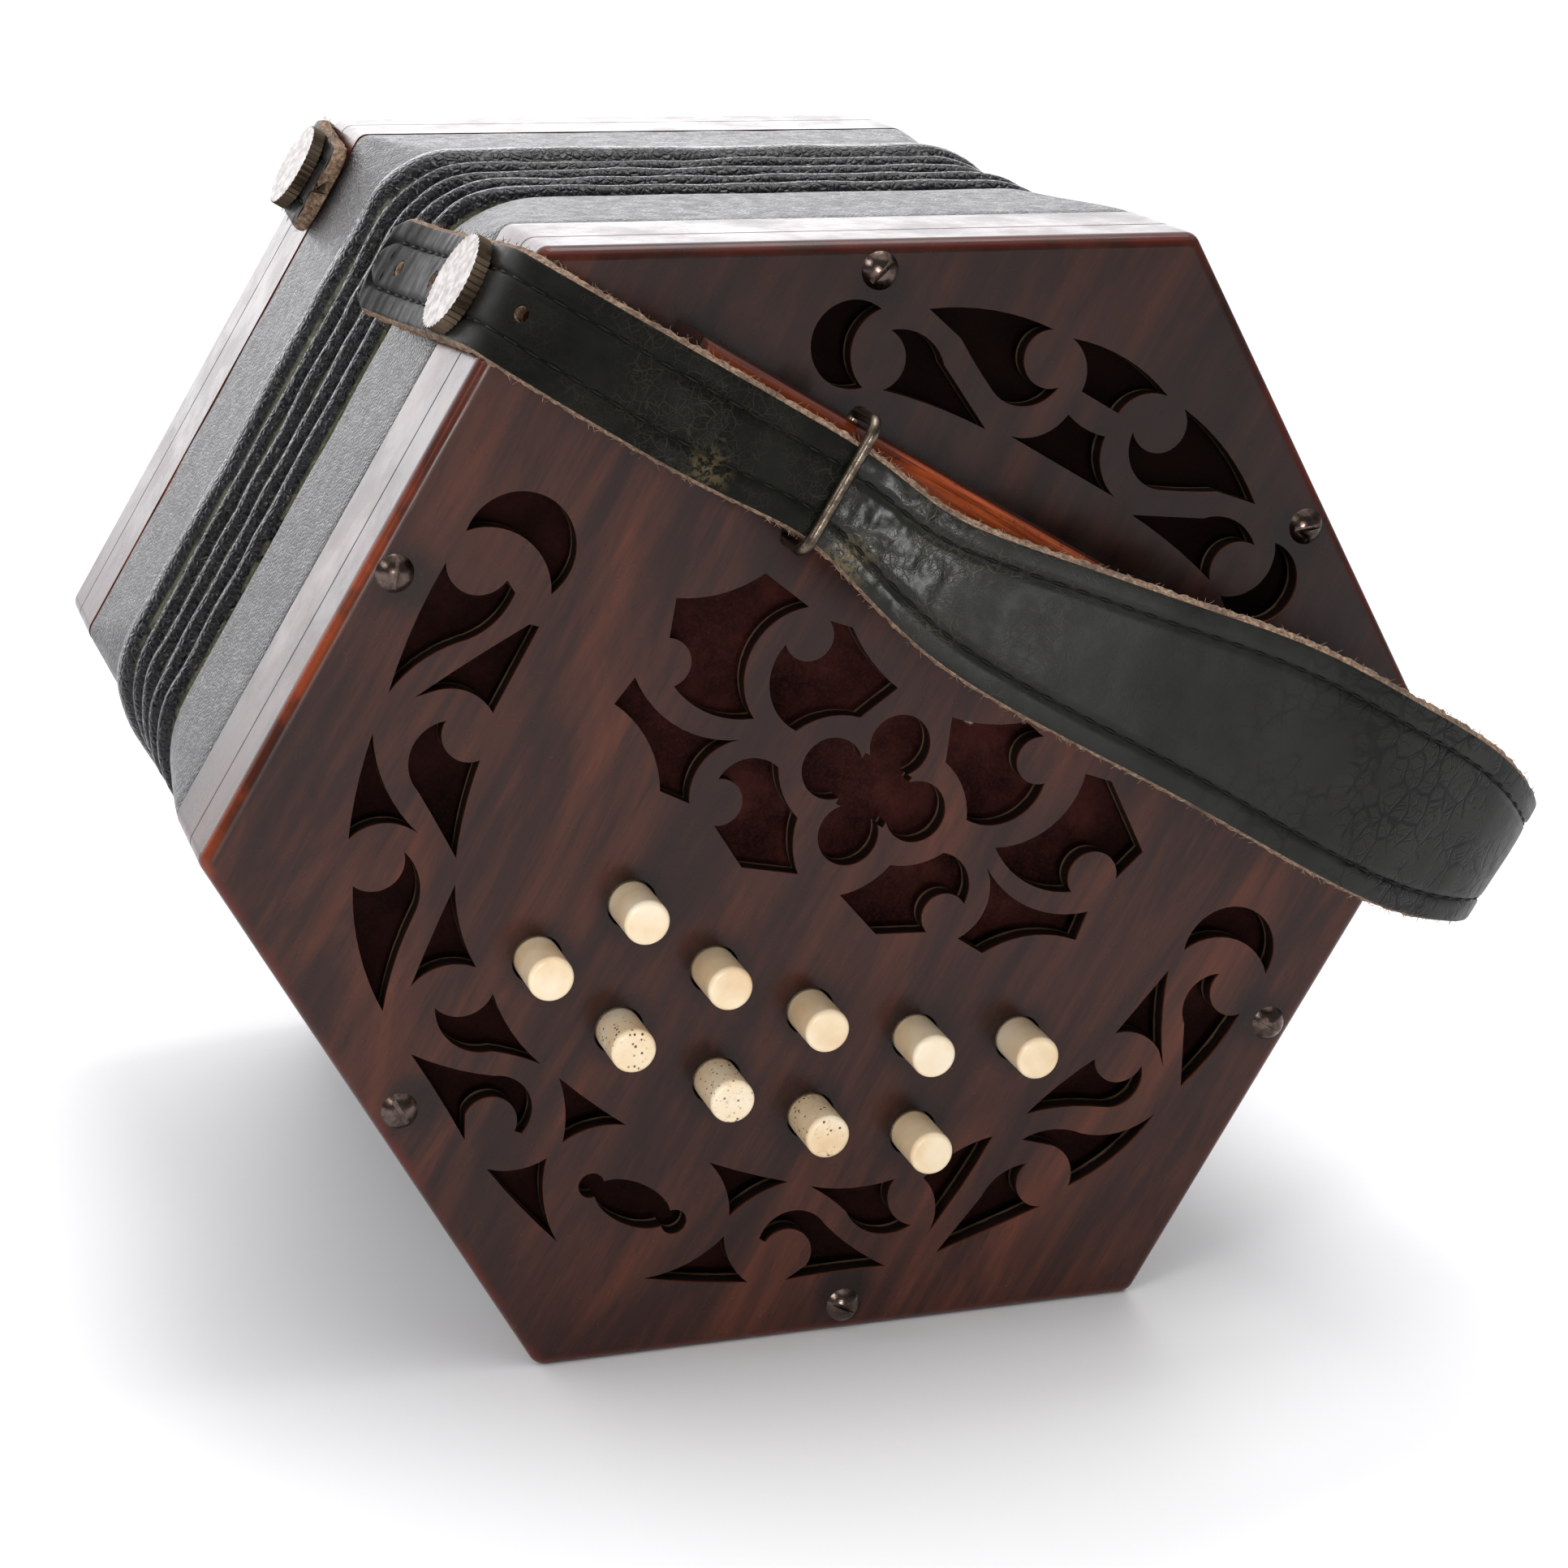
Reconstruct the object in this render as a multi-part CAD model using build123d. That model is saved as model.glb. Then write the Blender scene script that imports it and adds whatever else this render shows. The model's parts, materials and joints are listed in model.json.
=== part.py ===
from build123d import *
import os
from math import cos, hypot, pi, radians, sin, tan

# Hexagonal concertina, millimetres, +Z up, standing on one flat of its hexagon.
# +Y runs along the bellows: the left-hand end is at -Y and the right-hand end at +Y.
# Each end is built in its own "end frame": X = u and Y = v lie in the end plate, with v square to
# the hand rail, and Z = h is the height above the plate's outer face, so inside the box h < 0.

# ---- driving dimensions ----
ACROSS_FLATS = 159.0
LENGTH = 140.0              # from end plate to end plate, bellows closed
APOTHEM = ACROSS_FLATS / 2
STAND_TILT = 30.0           # the rail's direction turned from the horizontal, degrees
STRAP_OVERHANG = 6.37       # how much further the straps reach at +X than the case does at -X

PLATE_T = 3.2               # fretted panel
BEZEL_DEPTH = 9.0           # panel and bezel
BOX_DEPTH = 20.8            # down to the action box's bottom edge
FRAME_DEPTH = 47.0          # down to the bellows frame's inner edge
WALL_T = 6.5
FRAME_WALL_T = 7.0
CASE_CORNER_R = 2.2
CASE_EDGE_R = 1.8
FRAME_CORNER_R = 6.0
BAFFLE_T = 0.5
BAFFLE_DEPTH = 6.2          # of its outer face, behind a gap

FOLD_COUNT = 5
FOLD_GAP = 0.4
FOLD_RIDGE_APOTHEM = 78.6
FOLD_INNER_APOTHEM = 58.0
FOLD_RIDGE_LAND = 2.4       # flat on the ridge
FOLD_SHOULDER = 5.0         # how far the ridge slopes back

BOARD_T = 3.0
PAN_TOP = 21.2
PAN_T = 3.0
PAN_DEPTH = 12.0
PAN_WALL_T = 2.5
PAN_HUB_R = 17.0
REED_COUNT = 10             # chambers, each with a reed above and one below
REED_SIZE = (24.0, 6.0, 2.0)
TONGUE_SIZE = (19.0, 2.4, 0.4)
TONGUE_GAP = 0.2            # round the tongue in its shoe
TONGUE_ROOT = 3.0           # length that its shoe clamps
REED_RADIUS = 40.0

BUTTON_R = 3.2
BUTTON_HOLE_R = 3.6
BUTTON_RISE = 8.0
BUTTON_TRAVEL = 2.5
BUTTON_DOME_R = 0.7
SHANK_DEPTH = 8.6
BOSS_R = 2.4
BOSS_DEPTH = 10.7
PEG_R = 1.0
PEG_DEPTH = 18.2
PEG_HOLE_R = 1.3
UPPER_ROW = [(-23.1, -25.6), (-7.4, -28.8), (8.8, -28.3), (25.4, -25.0), (40.1, -18.7)]
LOWER_ROW = [(-31.2, -38.2), (-15.3, -42.4), (1.6, -43.0), (17.3, -41.9), (33.1, -37.8)]
AIR_BUTTON = (-47.0, 6.0)   # right-hand end only

LEVER_ARM = 10.0            # button to pivot
PAD_ARM = 10.5              # pivot to pad
LEVER_DEPTH = 11.9          # of the pivot
LEVER_SIZE = (3.0, 1.0)     # width and thickness
LEVER_EYE = (1.5, 3.2)      # hole and rim radii of an eye that its button pushes
OPEN_EYE = (2.8, 4.4)       # the same, of an eye that its button passes through
PIVOT_PIN_R = 0.6
PIVOT_HOLE_R = 0.65
PIVOT_BARREL_R = 1.4
CHEEK_SIZE = (4.0, 1.2)
CHEEK_GAP = 0.3
CHEEK_TOP = 10.2
PAD_R = 5.0
PAD_T = 3.0
PAD_CLEARANCE = 0.3
PAD_HOLE_R = 4.0
PAD_STEM_R = 1.0

BOLT_RADIUS = 75.5
BOLT_R = 1.5
BOLT_HOLE_R = 1.6
BOLT_HEAD_R = 2.6
BOLT_HEAD_H = 1.3
BOLT_DEPTH = 32.0
SLOT_W = 0.7
SLOT_D = 0.7
SLOT_TURN = 37.0            # from one bolt's slot to the next, degrees

RAIL_LENGTH = 118.0
RAIL_V = (33.0, 46.6)
RAIL_HEIGHT = 14.0
RAIL_EDGE_R = 2.5
RAIL_SCREWS_U = (-38.0, 38.0)
RAIL_SCREW_LENGTH = 9.0

LOOP_U = -35.0
LOOP_V = (28.9, 48.0)
LOOP_WIRE_R = 0.85
LOOP_TOP = 18.9
LOOP_FOOT = 10.5
LOOP_BEND_R = 2.2
LOOP_FOOT_BEND_R = 1.1
LOOP_SEAT = 1.6             # how deep its feet go into the rail

STRAP_T = 2.4
SCREW_DEPTH = 11.6          # of the strap's two screws, from the plate's outer face
SCREW_V = 36.2
THUMB_R = 7.0
THUMB_T = 2.0
THUMB_KNURLS = 44
THUMB_KNURL_DEPTH = 0.35
THUMB_SHANK_R = 1.9
THUMB_HOLE_R = 2.1
THUMB_LIFT = 3.2            # underside of its head above the wall
THUMB_REACH = 5.0           # shank below the wall's surface
STRAP_SCREW_HEAD_R = 3.4
STRAP_SCREW_HEAD_H = 1.6

# Underside of the strap as (u, h): tail on the wall, over the plate's edge, along the rail,
# up over the hand and down onto the opposite wall.
STRAP_PATH = [(-82.8, -50.0), (-81.0, -42.0), (-80.1, -33.0), (-80.0, -24.0), (-80.0, -14.0),
              (-80.1, -5.0), (-78.9, 1.6), (-74.0, 6.2), (-66.0, 10.4), (-57.0, 14.4),
              (-46.0, 15.0), (-34.0, 15.1), (-20.0, 19.2), (0.0, 25.8), (24.0, 30.4),
              (48.0, 31.0), (66.0, 26.8), (78.0, 20.4), (83.2, 12.0), (82.4, 3.0),
              (80.4, -4.0), (80.0, -12.0), (80.0, -22.0)]
RIGHT_STRAP_PATH = STRAP_PATH[3:]    # the right strap's tail is cut shorter
# The strap's plan as (u, v), from its tail round to its wide part and back.
STRAP_LOWER = [(-79.0, 29.9), (-45.0, 30.1), (-33.5, 30.1), (-26.0, 28.2), (-14.0, 25.0), (-2.0, 24.2),
               (20.0, 24.8), (50.0, 24.6), (68.0, 25.8), (80.0, 28.2), (88.0, 29.4)]
STRAP_UPPER = [(88.0, 46.4), (80.0, 48.6), (68.0, 51.6), (50.0, 52.4), (30.0, 51.8),
               (12.0, 48.2), (-2.0, 45.4), (-16.0, 44.4), (-40.0, 44.9), (-79.0, 44.9)]
TAIL_SLANT = 0.10           # how much lower in v the tail lies for each millimetre down the wall

# ---- fretwork: each opening is corner, point on the arc to the next corner, corner, ... ----
# None in place of an arc's point makes that side straight.
FLANK_LEFT = [
    [(-69.9, 9.2), (-64.3, 17.9), (-55.4, 7.0), (-62.9, 12.0)],
    [(-70.2, 4.4), (-69.8, -5.5), (-68.3, -14.5), (-66.6, -9.0), (-63.2, -4.2), (-60.6, -0.6),
     (-59.8, 5.0), None, (-61.7, 6.0), (-65.6, 2.0)],
    [(-54.6, 2.5), None, (-54.3, -10.6), (-58.4, -9.5), (-62.6, -11.2), None,
     (-64.9, -13.4), (-60.4, -5.2), (-56.0, 2.2), None],
    [(-67.5, -20.1), (-65.7, -27.6), (-63.2, -34.4), (-60.5, -30.7), (-55.0, -29.6),
     (-61.9, -26.2)],
    [(-59.5, -14.3), (-61.8, -18.4), (-58.0, -24.5), (-53.5, -27.3), (-48.7, -30.4),
     (-51.2, -23.3), (-52.6, -17.0), (-56.3, -18.3)],
    [(-55.6, -32.6), (-54.8, -37.4), (-59.5, -39.8), (-53.9, -47.8), (-47.0, -53.7),
     (-48.9, -47.2), (-49.9, -40.0), (-51.6, -35.3)],
    [(-47.0, -33.6), (-46.3, -41.0), (-45.3, -49.0), (-43.0, -44.9), (-38.4, -42.8),
     (-43.6, -38.4)],
]
FLANK_RIGHT = [
    [(56.5, 3.8), (62.5, 13.7), (70.7, 6.3), (63.5, 8.8)],
    [(63.8, 3.2), (60.9, -0.8), (63.0, -5.8), None, (68.1, -14.4), (69.9, -7.5), (70.5, -0.6),
     (66.2, -1.7)],
    [(56.0, 0.3), (58.9, -5.8), (63.8, -13.0), None, (61.6, -11.0), (57.6, -10.1),
     (53.7, -11.7), None],
    [(66.7, -19.6), (64.6, -28.0), (60.2, -35.2), (58.2, -31.8), (54.5, -30.7), None,
     (49.3, -31.9), (52.6, -28.7), (57.5, -27.2), (63.0, -24.6)],
    [(60.4, -14.2), (61.9, -18.2), (58.6, -22.2), (53.0, -24.6), (47.7, -28.2), (49.8, -22.6),
     (53.0, -16.3), (57.0, -18.4)],
    [(52.2, -34.7), (49.2, -38.0), (48.4, -42.0), None, (46.6, -52.6), (51.6, -47.0),
     (57.9, -39.7), (53.4, -39.3)],
    [(44.9, -33.2), (44.7, -42.0), (43.7, -51.4), (42.2, -45.8), (38.4, -43.2), (40.9, -37.6)],
]
OUTER_LEAF_LEFT = [
    (-30.4, 23.0), None, (-22.4, 21.8), (-26.5, 13.6), (-21.2, 4.8), (-27.5, 2.6),
    (-33.8, 3.7), (-33.3, 7.7), (-37.8, 9.2), None, (-39.8, 14.4), (-34.0, 18.2)]
OUTER_LEAF_RIGHT = [
    (27.5, 19.7), None, (31.8, 20.5), None, (42.1, 13.7), None, (40.5, 8.4), (34.2, 9.7),
    (35.3, 3.8), (29.0, 2.0), (21.0, 4.4), (26.9, 10.6)]
MIRRORED = [
    # centre group
    [(-18.7, 21.5), None, (-15.2, 22.2), (-10.5, 19.5), (-4.7, 17.8), None, (-7.4, 11.8),
     (-11.7, 9.8), (-14.8, 6.0), (-21.2, 9.1), (-22.6, 15.8), (-17.5, 16.0)],
    [(-39.3, 2.4), (-31.0, -0.9), (-21.4, 1.4), (-24.6, -4.1), (-23.2, -9.6), None,
     (-27.9, -9.9), (-32.3, -5.1), (-40.0, -2.1), None],
    [(-14.3, 0.4), (-12.0, -2.4), (-8.0, -4.6), (-6.6, -8.2), (-3.6, -11.6), None,
     (-11.6, -14.3), None, (-18.4, -10.8), (-16.8, -5.6), (-21.3, -4.8), (-19.0, -0.4)],
    # foot group
    [(-40.7, -50.3), (-35.6, -48.9), (-34.4, -45.1), (-29.7, -48.6), (-23.0, -51.3),
     (-27.4, -51.8), (-30.2, -52.5), (-37.2, -53.4)],
    [(-40.4, -57.5), (-34.4, -57.0), (-28.2, -55.5), (-21.8, -56.2), (-20.2, -61.4), None,
     (-21.4, -61.5), (-25.2, -58.0), (-29.0, -62.2), None, (-27.2, -65.5), (-32.8, -61.9)],
    [(-19.6, -52.0), (-13.4, -53.3), (-7.1, -54.2), (-11.6, -56.8), (-14.2, -60.2),
     (-16.0, -56.3)],
    [(-15.1, -63.1), (-12.9, -68.0), (-7.3, -73.6), (-14.8, -71.1), (-22.2, -68.0),
     (-18.5, -66.6)],
    # crown group
    [(-34.8, 61.2), (-41.8, 55.5), (-31.6, 50.9), (-36.0, 55.3)],
    [(-32.2, 59.4), (-28.0, 61.0), (-22.9, 59.0), None, (-12.9, 54.4), (-21.0, 53.6),
     (-28.9, 52.0), (-28.2, 57.0)],
    [(-28.9, 64.4), (-20.8, 68.6), (-11.6, 70.6), (-13.2, 65.2), (-6.6, 64.3), (-8.8, 60.2),
     (-14.8, 59.3), (-18.8, 61.1), (-22.8, 63.2), None],
]
ON_AXIS = [
    [(-8.5, 70.9), (0.0, 72.3), (8.5, 70.9), (4.7, 68.9), (3.3, 65.4), None, (-3.3, 65.4),
     (-4.7, 68.9)],
    [(-3.3, 61.8), (0.0, 61.3), (3.3, 61.8), (4.9, 58.0), (9.2, 55.3), None, (-9.2, 55.3),
     (-4.9, 58.0)],
]
QUATREFOIL_CENTRE = (0.0, 3.7)
QUATREFOIL_LOBE_R = 4.5
QUATREFOIL_REACH = 7.2
QUATREFOIL_CORE = 8.2
EYE_CENTRE = (0.0, -64.2)   # the long opening above the foot of the plate
EYE_HALF_LENGTH = 6.2
EYE_HALF_HEIGHT = 3.2
EYE_LOBE_R = 1.9
EYE_LOBE_REACH = 7.0

LEFT_END = Plane(
    origin=(-STRAP_OVERHANG / 2, -LENGTH / 2, APOTHEM),
    x_dir=(cos(radians(STAND_TILT)), 0, -sin(radians(STAND_TILT))),
    z_dir=(0, -1, 0),
)


# ---- helpers ----
def save(node, solids):
    """Write one node, as one solid or as a group of separate solids."""
    group = solids if isinstance(solids, list) else [solids]
    shape = group[0] if len(group) == 1 else Compound(children=group)
    export_step(shape, os.path.join("parts", node + ".step"))


def on_left(shape):
    return LEFT_END.location * shape


def on_right(shape):
    return mirror(on_left(shape), about=Plane.XZ)


def hexagon(apothem, corner_r=0.0):
    """Hexagon with flats at u = +-apothem, its corners rounded."""
    circumradius = apothem / cos(radians(30))
    corners = [
        (circumradius * cos(radians(30 + 60 * k)), circumradius * sin(radians(30 + 60 * k)))
        for k in range(6)
    ]
    face = make_face(Polyline(corners, close=True))
    return fillet(face.vertices(), corner_r) if corner_r else face


def hex_plate(apothem, top, thickness, corner_r=0.0):
    """Hexagonal board whose upper face is at depth top."""
    return Pos(0, 0, -top) * extrude(hexagon(apothem, corner_r), amount=-thickness)


def wedges(reach, depth_from, depth_to):
    """Six sectors of the hexagon, each from one corner to the next: the mitres of its walls."""
    sectors = []
    for k in range(6):
        a = radians(30 + 60 * k)
        b = radians(90 + 60 * k)
        corners = [(0, 0), (reach * cos(a), reach * sin(a)), (reach * cos(b), reach * sin(b))]
        face = make_face(Polyline(corners, close=True))
        sectors.append(Pos(0, 0, -depth_from) * extrude(face, amount=depth_from - depth_to))
    return sectors


def mitred_walls(wall_t, depth_from, depth_to, corner_r):
    """Ring of six mitred walls, each a solid of its own."""
    height = depth_to - depth_from
    outside = hex_plate(APOTHEM, depth_from, height, corner_r)
    ring = outside - hex_plate(APOTHEM - wall_t, depth_from, height)
    return [ring & sector for sector in wedges(2 * APOTHEM, depth_from, depth_to)]


def drill(radius, u, v, depth_from, depth_to):
    """Cylinder square to the plate, between two depths."""
    middle = -(depth_from + depth_to) / 2
    return Pos(u, v, middle) * Cylinder(radius, depth_to - depth_from)


def side_pin(radius, u_from, u_to):
    """Cylinder along u at the place of the strap's screws."""
    middle = (u_from + u_to) / 2
    return Pos(middle, SCREW_V, -SCREW_DEPTH) * Rot(0, 90, 0) * Cylinder(radius, abs(u_to - u_from))


def opening(points):
    """Face of one fret opening from its alternating corners and arc points."""
    edges = []
    for i in range(0, len(points), 2):
        start = points[i]
        through = points[i + 1]
        end = points[(i + 2) % len(points)]
        edges.append(ThreePointArc(start, through, end) if through else Line(start, end))
    return make_face(edges)


def bolt_places():
    """Middle of each wall, where the long bolts run."""
    return [
        (BOLT_RADIUS * cos(radians(60 * k)), BOLT_RADIUS * sin(radians(60 * k))) for k in range(6)
    ]


def bolt_holes(depth_from, depth_to):
    return [drill(BOLT_HOLE_R, u, v, depth_from, depth_to) for u, v in bolt_places()]


def cut_all(solids, cutters):
    """Cut every solid of a group with whichever cutters reach it."""
    for cutter in cutters:
        solids = [solid - cutter for solid in solids]
    return solids


# ---- fretted end ----
def quatrefoil():
    u, v = QUATREFOIL_CENTRE
    shape = Pos(u, v) * Rectangle(QUATREFOIL_CORE, QUATREFOIL_CORE)
    for k in range(4):
        du = QUATREFOIL_REACH * cos(radians(90 * k))
        dv = QUATREFOIL_REACH * sin(radians(90 * k))
        shape += Pos(u + du, v + dv) * Circle(QUATREFOIL_LOBE_R)
    return shape


def long_eye():
    u, v = EYE_CENTRE
    shape = Pos(u, v) * Ellipse(EYE_HALF_LENGTH, EYE_HALF_HEIGHT)
    for side in (-1, 1):
        shape += Pos(u + side * EYE_LOBE_REACH, v) * Circle(EYE_LOBE_R)
    return shape


def fret_openings():
    faces = [opening(points) for points in FLANK_LEFT + FLANK_RIGHT + ON_AXIS]
    faces += [opening(OUTER_LEAF_LEFT), opening(OUTER_LEAF_RIGHT)]
    for points in MIRRORED:
        face = opening(points)
        faces += [face, mirror(face, about=Plane.YZ)]
    return faces + [quatrefoil(), long_eye()]


def end_plate(buttons):
    """Fretted panel with its six bezel walls behind it."""
    outline = hexagon(APOTHEM, CASE_CORNER_R)
    for face in fret_openings():
        outline -= face
    for u, v in buttons:
        outline -= Pos(u, v) * Circle(BUTTON_HOLE_R)
    panel = extrude(outline, amount=-PLATE_T)
    rim = panel.faces().sort_by(Axis.Z)[-1].outer_wire()
    panel = fillet(rim.edges(), CASE_EDGE_R)
    for u, v in rail_screw_places():
        panel -= drill(BOLT_HOLE_R, u, v, 0, PLATE_T)
        panel -= drill(BOLT_HEAD_R, u, v, PLATE_T - BOLT_HEAD_H, PLATE_T)
    walls = mitred_walls(WALL_T, PLATE_T, BEZEL_DEPTH, CASE_CORNER_R)
    return cut_all([panel] + walls, bolt_holes(0, BEZEL_DEPTH))


def baffle(buttons):
    """Thin leather card glued between the walls, a little way behind the fretwork."""
    card = hex_plate(APOTHEM - WALL_T, BAFFLE_DEPTH, BAFFLE_T)
    for u, v in buttons:
        card -= drill(BUTTON_HOLE_R, u, v, BAFFLE_DEPTH, BAFFLE_DEPTH + BAFFLE_T)
    return card


def action_box():
    walls = mitred_walls(WALL_T, BEZEL_DEPTH, BOX_DEPTH, CASE_CORNER_R)
    screws = [
        side_pin(THUMB_HOLE_R, -APOTHEM - 1, -APOTHEM + THUMB_REACH + 1),
        side_pin(BOLT_HOLE_R, APOTHEM - THUMB_REACH, APOTHEM + 1),
    ]
    return cut_all(walls, bolt_holes(BEZEL_DEPTH, BOX_DEPTH) + screws)


def bellows_frame():
    walls = mitred_walls(FRAME_WALL_T, BOX_DEPTH, FRAME_DEPTH, FRAME_CORNER_R)
    return cut_all(walls, bolt_holes(BOX_DEPTH, BOLT_DEPTH))


def end_screws():
    """Six long end bolts, two rail screws and the strap's fixed screw."""
    screws = []
    for k, (u, v) in enumerate(bolt_places()):
        head = Pos(u, v, 0) * dome(BOLT_HEAD_R, BOLT_HEAD_H)
        slot = Box(2 * BOLT_HEAD_R, SLOT_W, 2 * SLOT_D)
        head -= Pos(u, v, BOLT_HEAD_H) * Rot(0, 0, SLOT_TURN * k) * slot
        screws.append(head + drill(BOLT_R, u, v, 0, BOLT_DEPTH))
    for u, v in rail_screw_places():
        head = drill(BOLT_HEAD_R, u, v, PLATE_T - BOLT_HEAD_H, PLATE_T)
        screws.append(head + drill(BOLT_R, u, v, -RAIL_SCREW_LENGTH, PLATE_T))
    top = APOTHEM + THUMB_LIFT
    strap_screw = side_pin(BOLT_R, APOTHEM - THUMB_REACH, top)
    strap_screw += side_pin(STRAP_SCREW_HEAD_R, top, top + STRAP_SCREW_HEAD_H)
    screws.append(strap_screw)
    return screws


def dome(radius, height):
    """Shallow spherical cap standing on h = 0."""
    ball_r = (radius ** 2 + height ** 2) / (2 * height)
    ball = Pos(0, 0, height - ball_r) * Sphere(ball_r)
    return ball & Pos(0, 0, height / 2) * Cylinder(radius, height)


# ---- hand rail, loop and strap ----
def rail_screw_places():
    return [(u, sum(RAIL_V) / 2) for u in RAIL_SCREWS_U]


def hand_rail():
    width = RAIL_V[1] - RAIL_V[0]
    centre_v = sum(RAIL_V) / 2
    bar = Pos(0, centre_v, RAIL_HEIGHT / 2) * Box(RAIL_LENGTH, width, RAIL_HEIGHT)
    bar = fillet(bar.faces().sort_by(Axis.Z)[-1].edges(), RAIL_EDGE_R)
    for u, v in rail_screw_places():
        bar -= drill(BOLT_R, u, v, -RAIL_SCREW_LENGTH, 0)
    for v in RAIL_V:
        bar -= Pos(LOOP_U, v, LOOP_FOOT) * Rot(90, 0, 0) * Cylinder(LOOP_WIRE_R, 2 * LOOP_SEAT)
    return bar


def strap_loop():
    """Bent wire staple over the strap, its feet in the rail's sides."""
    v_low, v_high = LOOP_V
    corners = [
        (LOOP_U, RAIL_V[0] + LOOP_SEAT, LOOP_FOOT),
        (LOOP_U, v_low, LOOP_FOOT),
        (LOOP_U, v_low, LOOP_TOP),
        (LOOP_U, v_high, LOOP_TOP),
        (LOOP_U, v_high, LOOP_FOOT),
        (LOOP_U, RAIL_V[1] - LOOP_SEAT, LOOP_FOOT),
    ]
    radii = [LOOP_FOOT_BEND_R, LOOP_BEND_R, LOOP_BEND_R, LOOP_FOOT_BEND_R]
    path = FilletPolyline(*corners, radius=radii)
    section = Plane(origin=path @ 0, z_dir=path % 0) * Circle(LOOP_WIRE_R)
    return sweep(section, path=path)


def offset_path(points, distance):
    """Points moved square to the path, to its left."""
    moved = []
    last = len(points) - 1
    for i, (x, y) in enumerate(points):
        x0, y0 = points[max(i - 1, 0)]
        x1, y1 = points[min(i + 1, last)]
        run = hypot(x1 - x0, y1 - y0)
        moved.append((x - (y1 - y0) / run * distance, y + (x1 - x0) / run * distance))
    return moved


def hand_strap(under):
    """Leather band of even thickness along its underside's path, cut to its plan."""
    over = offset_path(under, STRAP_T)
    side = make_face([
        Spline(under), Line(under[-1], over[-1]), Spline(over[::-1]), Line(over[0], under[0])])
    band = extrude(Plane.XZ * side, amount=ACROSS_FLATS, both=True)
    low, high = STRAP_LOWER[0][1], STRAP_UPPER[-1][1]
    tail_low = (-ACROSS_FLATS, low)
    tail_high = (-ACROSS_FLATS, high)
    plan = make_face([
        Line(tail_low, STRAP_LOWER[0]), Spline(STRAP_LOWER), Line(STRAP_LOWER[-1], STRAP_UPPER[0]),
        Spline(STRAP_UPPER), Line(STRAP_UPPER[-1], tail_high), Line(tail_high, tail_low)])
    drop = TAIL_SLANT * LENGTH
    tail = make_face(Polyline((low, 0), (high, 0), (high - drop, -LENGTH), (low - drop, -LENGTH), close=True))
    beyond_plate = Pos(ACROSS_FLATS / 2, 0) * Rectangle(ACROSS_FLATS, ACROSS_FLATS)
    strap = band & extrude(plan, amount=LENGTH)
    strap += band & extrude(plan & beyond_plate, amount=-LENGTH)
    strap += band & extrude(Plane.YZ * tail, amount=-ACROSS_FLATS)
    strap -= side_pin(THUMB_HOLE_R, -APOTHEM, -APOTHEM - 2 * THUMB_LIFT)
    strap -= side_pin(BOLT_R, APOTHEM, APOTHEM + 2 * THUMB_LIFT)
    return strap


def thumbscrew():
    """Knurled disc on a shank that goes through the strap into the wall."""
    rim = []
    for k in range(2 * THUMB_KNURLS):
        radius = THUMB_R - THUMB_KNURL_DEPTH * (k % 2)
        angle = pi * k / THUMB_KNURLS
        rim.append((radius * cos(angle), radius * sin(angle)))
    disc = extrude(make_face(Polyline(rim, close=True)), amount=THUMB_T)
    shank_length = THUMB_LIFT + THUMB_REACH
    shank = Pos(0, 0, -shank_length / 2) * Cylinder(THUMB_SHANK_R, shank_length)
    seat = Pos(-APOTHEM - THUMB_LIFT, SCREW_V, -SCREW_DEPTH) * Rot(0, -90, 0)
    return seat * (disc + shank)


# ---- action ----
def button(u, v):
    shank = drill(BUTTON_R, u, v, -BUTTON_RISE, SHANK_DEPTH)
    shank = fillet(shank.edges().sort_by(Axis.Z)[-1], BUTTON_DOME_R)
    boss = drill(BOSS_R, u, v, SHANK_DEPTH, BOSS_DEPTH)
    return shank + boss + drill(PEG_R, u, v, BOSS_DEPTH, PEG_DEPTH)


def lever_seat(place, towards):
    """Frame of a lever: origin at its pivot, X towards its pad."""
    u, v = place
    return Pos(u, v + towards * LEVER_ARM, -LEVER_DEPTH) * Rot(0, 0, 90 * towards)


def lever(eye):
    """Brass lever with the button's eye at one end and the leather pad at the other."""
    width, thickness = LEVER_SIZE
    eye_hole, eye_rim = eye
    bar_length = LEVER_ARM + PAD_ARM
    bar = Pos(PAD_ARM - bar_length / 2, 0, 0) * Box(bar_length, width, thickness)
    bar += Pos(-LEVER_ARM, 0, 0) * Cylinder(eye_rim, thickness)
    bar -= Pos(-LEVER_ARM, 0, 0) * Cylinder(eye_hole, thickness)
    bar += Rot(90, 0, 0) * Cylinder(PIVOT_BARREL_R, width)
    bar -= Rot(90, 0, 0) * Cylinder(PIVOT_HOLE_R, 2 * width)
    pad_bottom = LEVER_DEPTH - BOX_DEPTH + BOARD_T + PAD_CLEARANCE
    pad_top = pad_bottom + PAD_T
    stem = Pos(PAD_ARM, 0, pad_top / 2) * Cylinder(PAD_STEM_R, -pad_top)
    pad = Pos(PAD_ARM, 0, pad_bottom + PAD_T / 2) * Cylinder(PAD_R, PAD_T)
    return bar + stem + pad


def lever_post():
    """Two cheeks on the board and the pin that the lever turns on."""
    length, thickness = CHEEK_SIZE
    board_top = LEVER_DEPTH - BOX_DEPTH + BOARD_T
    top = LEVER_DEPTH - CHEEK_TOP
    offset = LEVER_SIZE[0] / 2 + CHEEK_GAP + thickness / 2
    post = Rot(90, 0, 0) * Cylinder(PIVOT_PIN_R, 2 * offset)
    for side in (-1, 1):
        post += Pos(0, side * offset, (board_top + top) / 2) * Box(length, thickness, top - board_top)
    return post


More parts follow.
